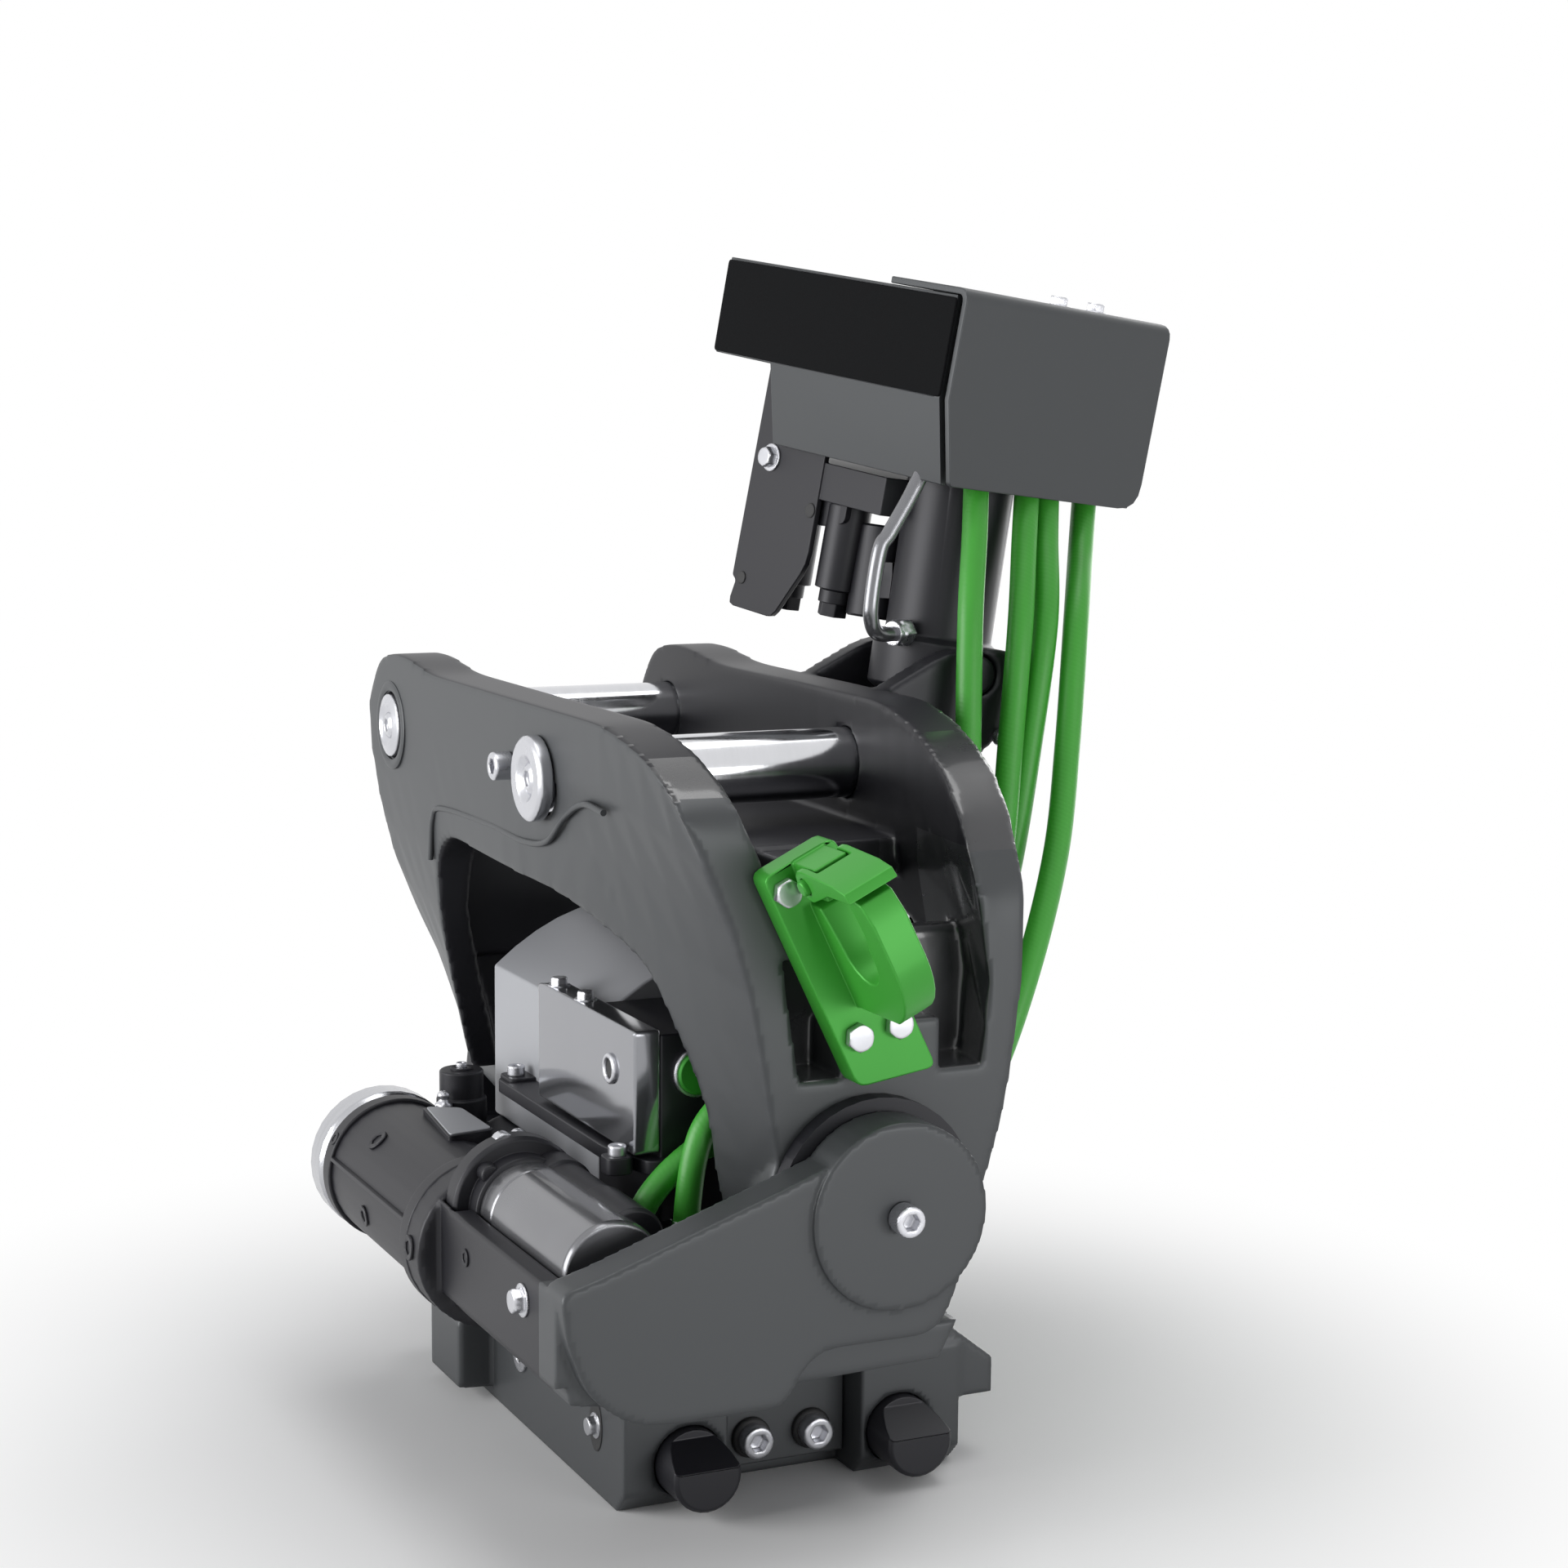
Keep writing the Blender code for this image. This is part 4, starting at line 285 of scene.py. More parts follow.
def bright_cover():
    return coat("bright_cover", (0.30, 0.305, 0.325), 0.09, metallic=0.85, worn_and_highlit=(0.75, 0.75, 0.78), wear=0.5,
                mottle=0.06, depth=0.01, spread=0.04)


def steel():
    return coat("plated_steel", tuple(finish_of().plated), 0.26, metallic=0.9, worn_and_highlit=(0.85, 0.85, 0.87),
                wear=0.3, mottle=0.10, depth=0.04, dust=0.02)


def turned_steel():
    return coat("turned_steel", (0.50, 0.505, 0.53), 0.22, metallic=1.0, worn_and_highlit=(0.85, 0.85, 0.87), wear=0.3,
                mottle=0.12, fine=260.0, depth=0.10, stretch=(1, 14, 1), dust=0.02)


def motor_finish():
    return coat("motor_finish", (0.200, 0.202, 0.215), 0.24, metallic=0.75, gloss=0.4, worn_and_highlit=(0.5, 0.5, 0.52),
                wear=0.4, mottle=0.12, fine=400.0, depth=0.06, dust=0.02)


def chrome():
    return coat("hard_chrome", (0.66, 0.665, 0.69), 0.13, metallic=1.0, wear=0.0, mottle=0.05, fine=240.0,
                depth=0.03, stretch=(9, 1, 1), spread=0.05, dust=0.02)


def bronze():
    return coat("bearing_bronze", (0.42, 0.27, 0.10), 0.33, metallic=1.0, worn_and_highlit=(0.70, 0.52, 0.26), wear=0.4)


def rubber():
    return coat("seal_rubber", (0.016, 0.016, 0.017), 0.62, wear=0.0, mottle=0.25, fine=600.0, depth=0.25,
                dust=0.10)


def black_plastic():
    return coat("textured_strip", (0.0075, 0.0078, 0.0085), 0.60, wear=0.08, mottle=0.30, fine=1500.0,
                depth=0.20, worn_and_highlit=(0.04, 0.04, 0.044), dust=0.0, specular=0.03)


def hose_skin():
    """Green outer braid of the hoses, with a faint lay that follows each hose."""
    if "hose_skin" in bpy.data.materials:
        return bpy.data.materials["hose_skin"]
    material = coat("hose_skin", tuple(finish_of().green), 0.46, gloss=0.10, gloss_roughness=0.3, wear=0.0,
                    mottle=0.12, fine=700.0, depth=0.10)
    bench = Bench(material.node_tree)
    bump = next(n for n in material.node_tree.nodes if n.type == "BUMP")
    run = bench.add("ShaderNodeAttribute", attribute_name="along").outputs["Fac"]
    around = bench.add("ShaderNodeAttribute", attribute_name="around").outputs["Fac"]
    lay = bench.maths("SINE", bench.maths("ADD", bench.maths("MULTIPLY", run, 3200.0),
                                          bench.maths("MULTIPLY", around, 5 * tau)))
    fine = bump.inputs["Height"].links[0].from_socket
    bench.link(bench.maths("ADD", bench.maths("MULTIPLY", lay, 0.30), fine), bump.inputs["Height"])
    return material


# Mesh work: degrees and metres

SHARP_ANGLE, ROUND_ANGLE, FLAT_ANGLE = 32, 38, 0.4
MERGE_DISTANCE, GROWTH_ALLOWED = 2e-6, 2e-5


def spin(bm, profile, start, direction, segments=32, place=None):
    """Turn a profile of (radius, distance) or (radius, distance, "hex") points about a line into bm."""
    turn = Vector(direction).to_track_quat("Z", "Y").to_matrix().to_4x4()
    frame_of = Matrix.Translation(Vector(start)) @ turn
    if place:
        frame_of = place @ frame_of
    rings = []
    for point in profile:
        radius, distance = point[0], point[1]
        if radius < 1e-7:
            rings.append([bm.verts.new(frame_of @ Vector((0, 0, distance)))])
            continue
        ring = []
        for i in range(segments):
            a = tau * i / segments
            r = radius * cos(pi / 6) / cos(a % (pi / 3) - pi / 6) if len(point) == 3 else radius
            ring.append(bm.verts.new(frame_of @ Vector((r * cos(a), r * sin(a), distance))))
        rings.append(ring)
    pairs = list(zip(rings, rings[1:]))
    if profile[0][0] > 1e-7:
        pairs.append((rings[-1], rings[0]))
    for a, b in pairs:
        for i in range(segments):
            j = (i + 1) % segments
            if len(a) == 1:
                bm.faces.new((a[0], b[i], b[j]))
            elif len(b) == 1:
                bm.faces.new((a[i], a[j], b[0]))
            else:
                bm.faces.new((a[i], a[j], b[j], b[i]))
    return bm


def rounded(points, radius, steps=5):
    """An outline with each corner rounded."""
    result = []
    count = len(points)
    for i, point in enumerate(points):
        here = Vector(point)
        before, after = Vector(points[i - 1]) - here, Vector(points[(i + 1) % count]) - here
        size = radius[i] if isinstance(radius, (list, tuple)) else radius
        reach = min(size, 0.45 * before.length, 0.45 * after.length)
        if reach <= 0:
            result.append(tuple(here))
            continue
        start, stop = here + before.normalized() * reach, here + after.normalized() * reach
        for step in range(steps + 1):
            t = step / steps
            result.append(tuple(start * (1 - t) ** 2 + here * 2 * t * (1 - t) + stop * t * t))
    return result


def slab(bm, points, axis, low, high, place=None):
    """Extrude a closed outline between two places on an axis into bm."""
    order = {"X": lambda p, t: (t, p[0], p[1]), "Y": lambda p, t: (p[0], t, p[1]),
             "Z": lambda p, t: (p[0], p[1], t)}[axis]
    ends = []
    for at in (low, high):
        ends.append([bm.verts.new((place or Matrix()) @ Vector(order(p, at))) for p in points])
    count = len(points)
    for i in range(count):
        j = (i + 1) % count
        bm.faces.new((ends[0][i], ends[0][j], ends[1][j], ends[1][i]))
    bm.faces.new(ends[0][::-1])
    bm.faces.new(ends[1])
    return bm


def block(bm, x, y, z, place=None, corner=0.0):
    """A block between the two values given for each axis, its corners rounded in the XY plane where asked."""
    outline = [(x[0], y[0]), (x[1], y[0]), (x[1], y[1]), (x[0], y[1])]
    return slab(bm, rounded(outline, corner) if corner else outline, "Z", z[0], z[1], place)


def mesh_of(name, bm):
    """A mesh with what bm holds; bm is freed."""
    mesh = bpy.data.meshes.new(name)
    bm.to_mesh(mesh)
    bm.free()
    return mesh


def placed(name, data):
    """A new object in the scene for a mesh, a lamp or a camera."""
    item = bpy.data.objects.new(name, data)
    bpy.context.scene.collection.objects.link(item)
    return item


def plain_mesh(piece):
    """Replace an object's mesh and modifiers by the mesh that they make."""
    bpy.context.view_layer.update()
    view = bpy.context.evaluated_depsgraph_get()
    mesh = bpy.data.meshes.new_from_object(piece.evaluated_get(view), depsgraph=view)
    piece.modifiers.clear()
    old = piece.data
    piece.data = mesh
    bpy.data.meshes.remove(old)
    return piece


def new_piece(name, bm, material, edge=0.0):
    """An object from bm, with its faces outwards, its edges rounded and its finish on."""
    bmesh.ops.recalc_face_normals(bm, faces=bm.faces[:])
    piece = placed(name, mesh_of(name, bm))
    piece.data.materials.append(material)
    return round_edges(piece, edge)


def extent(mesh):
    """How far a mesh reaches each way along the three axes, and its area."""
    places = [v.co for v in mesh.vertices]
    reach = [max(sign * p[i] for p in places) for i in range(3) for sign in (1, -1)]
    return reach + [sum(polygon.area for polygon in mesh.polygons)]


def round_edges(piece, edge, steps=2):
    """A small round on every sharp edge, or sharp shading there where no round is asked.

    A round that makes the piece larger has folded over itself, and is made again with its width held back.
    """
    piece.data.shade_smooth()
    if not edge:
        piece.data.set_sharp_from_angle(angle=radians(SHARP_ANGLE))
        return piece
    sharp = piece.data.copy()
    before = extent(sharp)
    for clamp in (False, True):
        bevel = piece.modifiers.new("edge", "BEVEL")
        bevel.width = edge
        bevel.segments = steps
        bevel.limit_method = "ANGLE"
        bevel.angle_limit = radians(ROUND_ANGLE)
        bevel.use_clamp_overlap = clamp
        bevel.miter_outer = "MITER_ARC"
        level = piece.modifiers.new("level", "WEIGHTED_NORMAL")
        level.weight = 100
        plain_mesh(piece)
        after = extent(piece.data)
        if clamp or all(a <= b + GROWTH_ALLOWED for a, b in zip(after, before)):
            return piece
        piece.data = sharp


def fit(piece, body, *nodes, slot=None):
    """Ride a finished piece on its body, name its slot and the CAD nodes that it stands for."""
    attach(piece, body)
    if nodes:
        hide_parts(*nodes)
    return piece


def copy_of(node, material, edge=None, steps=2):
    """A merged copy of a CAD node's shape, its flat faces whole again and its edges rounded."""
    bm = bmesh.new()
    bm.from_mesh(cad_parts[node].data)
    bmesh.ops.remove_doubles(bm, verts=bm.verts[:], dist=MERGE_DISTANCE)
    bmesh.ops.dissolve_limit(bm, angle_limit=radians(FLAT_ANGLE), verts=bm.verts[:], edges=bm.edges[:])
    mesh = mesh_of(node + "_dressed", bm)
    for name in ("custom_normal", "sharp_edge", "sharp_face"):
        if name in mesh.attributes:
            mesh.attributes.remove(mesh.attributes[name])
    mesh.materials.clear()
    mesh.materials.append(material)
    piece = placed(node + "_dressed", mesh)
    return round_edges(piece, finish_of().edge_round if edge is None else edge, steps)


def dress(node, body, material, edge=None, steps=2):
    """A rounded and finished copy that stands for a CAD node."""
    return fit(copy_of(node, material, edge, steps), body, node)


def coat_node(node, material):
    """Give a CAD node that stays as it is its finish."""
    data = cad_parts[node].data
    data.materials.clear()
    data.materials.append(material)


def ease_rims(mesh, chosen, passes=90):
    """Evens the rims of plates that face along X: a rim point moves in YZ towards its neighbours there."""
    places = np.array([v.co for v in mesh.vertices])
    on_rim = np.zeros(len(places), dtype=bool)
    for polygon in mesh.polygons:
        if abs(polygon.normal.x) < 0.35:
            on_rim[list(polygon.vertices)] = True
    pairs = np.array([edge.vertices[:] for edge in mesh.edges])
    pairs = pairs[on_rim[pairs].all(axis=1)]
    counts = np.bincount(pairs.ravel(), minlength=len(places))
    moving = on_rim & (counts > 1) & np.array([chosen(v.co) for v in mesh.vertices])
    for _ in range(passes):
        for axis in (1, 2):
            total = (np.bincount(pairs[:, 0], places[pairs[:, 1], axis], len(places))
                     + np.bincount(pairs[:, 1], places[pairs[:, 0], axis], len(places)))
            mean = total[moving] / counts[moving]
            places[moving, axis] += 0.5 * (mean - places[moving, axis])
    mesh.vertices.foreach_set("co", places.ravel())
    mesh.update()


def casting(node, body, materials, grid, passes, chosen=None, eased=None):
    """A CAD node's shape with the soft fillets of a casting: rebuilt on a fine grid and smoothed.

    chosen(centre, normal) gives the number of a face's material, and eased(place) says which rims are evened.
    """
    piece = copy_of(node, materials[0], 0.0)
    size = max(max(v.co[i] for v in piece.data.vertices) - min(v.co[i] for v in piece.data.vertices)
               for i in range(3))
    depth = 7 if size / (grid * 128) < 0.98 else 8
    rebuild = piece.modifiers.new("grid", "REMESH")
    rebuild.mode = "SHARP"
    rebuild.octree_depth = depth
    rebuild.scale = min(0.99, size / (grid * 2 ** depth))
    rebuild.use_remove_disconnected = False
    rebuild.use_smooth_shade = True
    plain_mesh(piece)
    if eased:
        ease_rims(piece.data, eased)
    soften = piece.modifiers.new("soften", "SMOOTH")
    soften.factor = 0.5
    soften.iterations = passes
    plain_mesh(piece)
    piece.data.materials.clear()
    for material in materials:
        piece.data.materials.append(material)
    for polygon in piece.data.polygons:
        polygon.material_index = int(chosen(polygon.center, polygon.normal)) if chosen else 0
    return fit(piece, body, node)


# Geometry Nodes

def new_nodes(name, inputs):
    """A Geometry Nodes tree with named inputs; returns its bench, what goes in and out, and socket names."""
    tree = bpy.data.node_groups.new(name, "GeometryNodeTree")
    tree.interface.new_socket("Geometry", in_out="INPUT", socket_type="NodeSocketGeometry")
    names = {}
    for label, kind in inputs:
        names[label] = tree.interface.new_socket(label, in_out="INPUT", socket_type=kind).identifier
    tree.interface.new_socket("Geometry", in_out="OUTPUT", socket_type="NodeSocketGeometry")
    bench = Bench(tree)
    return bench, bench.add("NodeGroupInput").outputs, bench.add("NodeGroupOutput").inputs, names


NODE_TREES = {}


def hose_tree():
    """Sweeps a round section along a route and keeps the length run and the turn around it."""
    if "hose" in NODE_TREES:
        return NODE_TREES["hose"]
    bench, given, result, names = new_nodes(
        "Hose run", [("Radius", "NodeSocketFloat"), ("Sides", "NodeSocketInt"), ("Skin", "NodeSocketMaterial")])
    curve = bench.add("GeometryNodeMeshToCurve", {"Mesh": given["Geometry"]}).outputs["Curve"]
    run = bench.add("GeometryNodeSplineParameter")
    marked = bench.add("GeometryNodeStoreNamedAttribute", {"Geometry": curve, "Name": "along",
                                                           "Value": run.outputs["Length"]},
                       data_type="FLOAT", domain="POINT").outputs[0]
    circle = bench.add("GeometryNodeCurvePrimitiveCircle", {"Resolution": given["Sides"],
                                                            "Radius": given["Radius"]}, mode="RADIUS")
    turned = bench.add("GeometryNodeStoreNamedAttribute", {"Geometry": circle.outputs["Curve"],
                                                           "Name": "around", "Value": run.outputs["Factor"]},
                       data_type="FLOAT", domain="POINT").outputs[0]
    tube = bench.add("GeometryNodeCurveToMesh", {"Curve": marked, "Profile Curve": turned,
                                                 "Fill Caps": True}).outputs["Mesh"]
    smooth = bench.add("GeometryNodeSetShadeSmooth", {"Geometry": tube}).outputs[0]
    real = bench.add("GeometryNodeRealizeInstances", {"Geometry": smooth}).outputs[0]
    done = bench.add("GeometryNodeSetMaterial", {"Geometry": real, "Material": given["Skin"]}).outputs[0]
    bench.link(done, result["Geometry"])
    NODE_TREES["hose"] = (bench.tree, names)
    return NODE_TREES["hose"]


def fastener_tree():
    """Sets one fastener on each point, turned to the way that the point faces."""
    if "fastener" in NODE_TREES:
        return NODE_TREES["fastener"]
    bench, given, result, names = new_nodes(
        "Fastener set", [("Fastener", "NodeSocketObject"), ("Size", "NodeSocketFloat"),
                         ("Finish", "NodeSocketMaterial")])
    shape = bench.add("GeometryNodeObjectInfo", {"Object": given["Fastener"], "As Instance": True},
                      transform_space="ORIGINAL").outputs["Geometry"]
    facing = bench.add("GeometryNodeInputNamedAttribute", {"Name": "facing"},
                       data_type="FLOAT_VECTOR").outputs["Attribute"]
    scale = bench.add("GeometryNodeInputNamedAttribute", {"Name": "scale"},
                      data_type="FLOAT").outputs["Attribute"]
    turn = bench.add("FunctionNodeAlignRotationToVector", {"Vector": facing}, axis="Z").outputs[0]
    size = bench.maths("MULTIPLY", scale, given["Size"])
    placed = bench.add("GeometryNodeInstanceOnPoints", {"Points": given["Geometry"], "Instance": shape,
                                                        "Rotation": turn, "Scale": size}).outputs[0]
    real = bench.add("GeometryNodeRealizeInstances", {"Geometry": placed}).outputs[0]
    done = bench.add("GeometryNodeSetMaterial", {"Geometry": real, "Material": given["Finish"]}).outputs[0]
    bench.link(done, result["Geometry"])
    NODE_TREES["fastener"] = (bench.tree, names)
    return NODE_TREES["fastener"]


def run_tree(piece, tree, names, values):
    """Put a tree on a piece with its inputs set, and keep the mesh that it makes."""
    modifier = piece.modifiers.new("nodes", "NODES")
    modifier.node_group = tree
    for label, value in values.items():
        modifier[names[label]] = value
    return plain_mesh(piece)


def smooth_route(points, count):
    """Points on a Catmull-Rom curve through the given ones."""
    knots = [Vector(p) for p in points]
    knots = [knots[0] * 2 - knots[1]] + knots + [knots[-1] * 2 - knots[-2]]
    spans = len(knots) - 3
    result = []
    for i in range(count + 1):
        place = min(i / count * spans, spans - 1e-6)
        k = int(place)
        t = place - k
        a, b, c, d = knots[k:k + 4]
        result.append(0.5 * (2 * b + (c - a) * t + (2 * a - 5 * b + 4 * c - d) * t * t
                             + (3 * b - a - 3 * c + d) * t * t * t))
    return result


def tube(name, points, radius, material, count=120):
    """A round hose or pipe along a smooth route."""
    route = smooth_route(points, count)
    mesh = bpy.data.meshes.new(name)
    mesh.from_pydata([tuple(p) for p in route], [(i, i + 1) for i in range(count)], [])
    piece = placed(name, mesh)
    tree, names = hose_tree()
    return run_tree(piece, tree, names, {"Radius": radius, "Sides": finish_of().hose_sides, "Skin": material})


# Sections of unit fasteners: radius and height, six-sided where marked
FASTENERS = {
    "hex_head": [(0, 0), (1.32, 0), (1.32, 0.14), (1.0, 0.16, "hex"), (1.0, 0.86, "hex"), (0.86, 1.0),
                 (0.80, 1.0), (0, 1.0)],
    "cap_screw": [(0, 0), (0.97, 0), (1.0, 0.04), (1.0, 1.06), (0.92, 1.14), (0.60, 1.14), (0.56, 1.10, "hex"),
                  (0.54, 0.50, "hex"), (0, 0.46)],
    "grub_screw": [(0, 0), (1.0, 0), (1.0, 0.12), (0.94, 0.18), (0.62, 0.18), (0.58, 0.14, "hex"),
                   (0.56, 0.03, "hex"), (0, 0.03)],
    "grease_nipple": [(0, 0), (1.0, 0, "hex"), (1.0, 0.55, "hex"), (0.86, 0.66), (0.62, 0.80), (0.46, 1.05),
                      (0.46, 1.22), (0.62, 1.36), (0.68, 1.55), (0.60, 1.76), (0.36, 1.94), (0.16, 1.98),
                      (0.12, 1.90), (0, 1.90)],
    "washer": [(0.42, 0.02), (0.46, 0.0), (1.0, 0.0), (1.0, 0.20), (0.96, 0.24), (0.46, 0.24), (0.42, 0.20)],
}


def master(kind):
    """One fastener of unit radius, standing on the origin."""
    bm = spin(bmesh.new(), FASTENERS[kind], (0, 0, 0), (0, 0, 1), 24)
    bmesh.ops.recalc_face_normals(bm, faces=bm.faces[:])
    mesh = mesh_of(kind, bm)
    mesh.shade_smooth()
    mesh.set_sharp_from_angle(angle=radians(30))
    return placed(kind, mesh)


def fasteners(name, kind, spots, material, body):
    """Fasteners of one kind on one body; each spot is its seat, the way that it faces and its radius."""
    shape = master(kind)
    shape.data.materials.append(material)
    mesh = bpy.data.meshes.new(name)
    mesh.from_pydata([tuple(spot[0]) for spot in spots], [], [])
    mesh.attributes.new("facing", "FLOAT_VECTOR", "POINT")
    mesh.attributes.new("scale", "FLOAT", "POINT")
    for i, (_, way, radius) in enumerate(spots):
        mesh.attributes["facing"].data[i].vector = Vector(way).normalized()
        mesh.attributes["scale"].data[i].value = radius
    piece = placed(name, mesh)
    tree, names = fastener_tree()
    run_tree(piece, tree, names, {"Fastener": shape, "Size": 1.0, "Finish": material})
    bpy.data.objects.remove(shape)
    return fit(piece, body)


# Pieces

def make_hitch():
    """Hitch casting with its cast fillets, embossed line and set screws."""
    def shade(centre, normal):
        """0 for the outer faces, 1 for the dark inside, 2 for the rims between them."""
        if normal.x * (1 if centre.x > 0 else -1) > 0.55:
            return 0
        if abs(centre.y) > 0.172 and normal.y * centre.y > 0 and abs(normal.y) > 0.6:
            return 0
        rim = abs(centre.x) > 0.045 and abs(normal.x) < 0.55 and normal.y * centre.y > 0
        pocket = centre.y < -0.120 and centre.z < 0.270
        return 2 if pocket or (rim and abs(normal.y) > 0.3 and abs(centre.y) > 0.085) else 1

    def on_plate(place):
        clear_of_pins = all((Vector((y, PIN_Z)) - place.yz).length > 0.0190 for y in PIN_Y)
        return place.z > 0.19 and 0.050 < abs(place.x) < 0.0815 and clear_of_pins

    # Painted shade: the inside of the hitch is coloured black and its rims and pocket half-dark, in place of the
    # charcoal of its outer faces.
    casting("hitch_casting", "hitch", [charcoal_paint(), black_paint(), rim_painted_shade()],
            finish_of().casting_grid, 4, shade, on_plate)
    line = [(-0.0803, y, z) for y, z in HITCH_LINE]
    fit(tube("hitch_embossed_line", line, 0.0013, charcoal_paint(), 100), "hitch")
    bm = spin(bmesh.new(), [(0.0160, 0), (0.0205, 0), (0.0205, 0.0008), (0.0195, 0.0014), (0.0170, 0.0014),
                            (0.0160, 0.0008)], (-0.0805, 0.153, PIN_Z), (-1, 0, 0), 48)
    fit(new_piece("rear_pin_seat_ring", bm, charcoal_paint()), "hitch")
    fasteners("hitch_set_screws", "grub_screw",
              [((-0.0800, 0.1056, 0.2985), (-1, 0, 0), 0.0022),
               ((-0.0800, 0.1064, 0.2710), (-1, 0, 0), 0.0022)], black_paint(), "hitch")


def make_pins():
    """Chromed hitch pins with their discs and lock screw."""
    for node in ("front_pin", "rear_pin"):
        dress(node, "hitch", chrome(), 0.0)
    for node in ("front_pin_disc", "rear_pin_disc", "front_pin_lock_screw"):
        dress(node, "hitch", steel(), 0.0003)
    bm = bmesh.new()
    for y, reach, x in zip(PIN_Y, (0.0066, 0.0060), (-0.0843, -0.0813)):
        spin(bm, [(0, 0), (reach, 0), (reach, 0.0009), (reach * 0.72, 0.0022), (reach * 0.55, 0.0022, "hex"),
                  (reach * 0.50, 0.0006, "hex"), (0, 0.0006)], (x, y, PIN_Z), (-1, 0, 0), 24)
    fit(new_piece("pin_screws", bm, steel()), "hitch")


def make_hook():
    """Green lifting hook with its latch and its three bolts."""
    dress("lifting_hook", "hitch", green_paint(), 0.0009, 3)
    dress("hook_latch", "latch", green_paint(), 0.0005)
    for i, (x, z) in enumerate(((-0.0092, 0.0440), (-0.0070, -0.0200), (0.0095, -0.0240))):
        node = "hook_bolt_%d" % (i + 1)
        head = [(0, 0), (0.0056, 0, "hex"), (0.0056, 0.0031, "hex"), (0.0050, 0.0039), (0, 0.0039)]
        bm = spin(bmesh.new(), head, (x, -0.0120 - 0.0002, z), (0, -1, 0), 24, HOOK_PLACE)
        fit(new_piece(node + "_head", bm, steel(), 0.0002), "hitch", node)


def make_gearbox():
    """Gearbox casting, worm cap, tilt shafts and eye screws."""
    def behind_plate(centre, normal):
        return centre.y > -0.182
    casting("gearbox_housing", "gearbox", [charcoal_paint(), black_paint()], finish_of().casting_grid * 0.9, 2,
            behind_plate)
    dress("worm_end_cap", "gearbox", turned_steel(), 0.0007)
    for node in ("front_tilt_bolt", "rear_tilt_bolt", "lug_pin"):
        dress(node, "gearbox", steel(), 0.0003)
    for node in ("front_tilt_shaft", "rear_tilt_shaft", "oil_swivel", "gear_case_ring", "front_worm_bearing",
                 "rear_worm_bearing"):
        coat_node(node, turned_steel())
    # The tilt bushes get black paint in place of bronze: painted shade for the dark gap around the eye.
    for node in ("front_tilt_bush", "rear_tilt_bush"):
        coat_node(node, black_paint())


def tube_spot(angle, y, radius=TUBE_RADIUS):
    """A place on the worm tube and the way out of it; the angle runs from +X up to +Z."""
    way = Vector((cos(radians(angle)), 0, sin(radians(angle))))
    return Vector((WORM_X, y, WORM_Z)) + way * radius, way


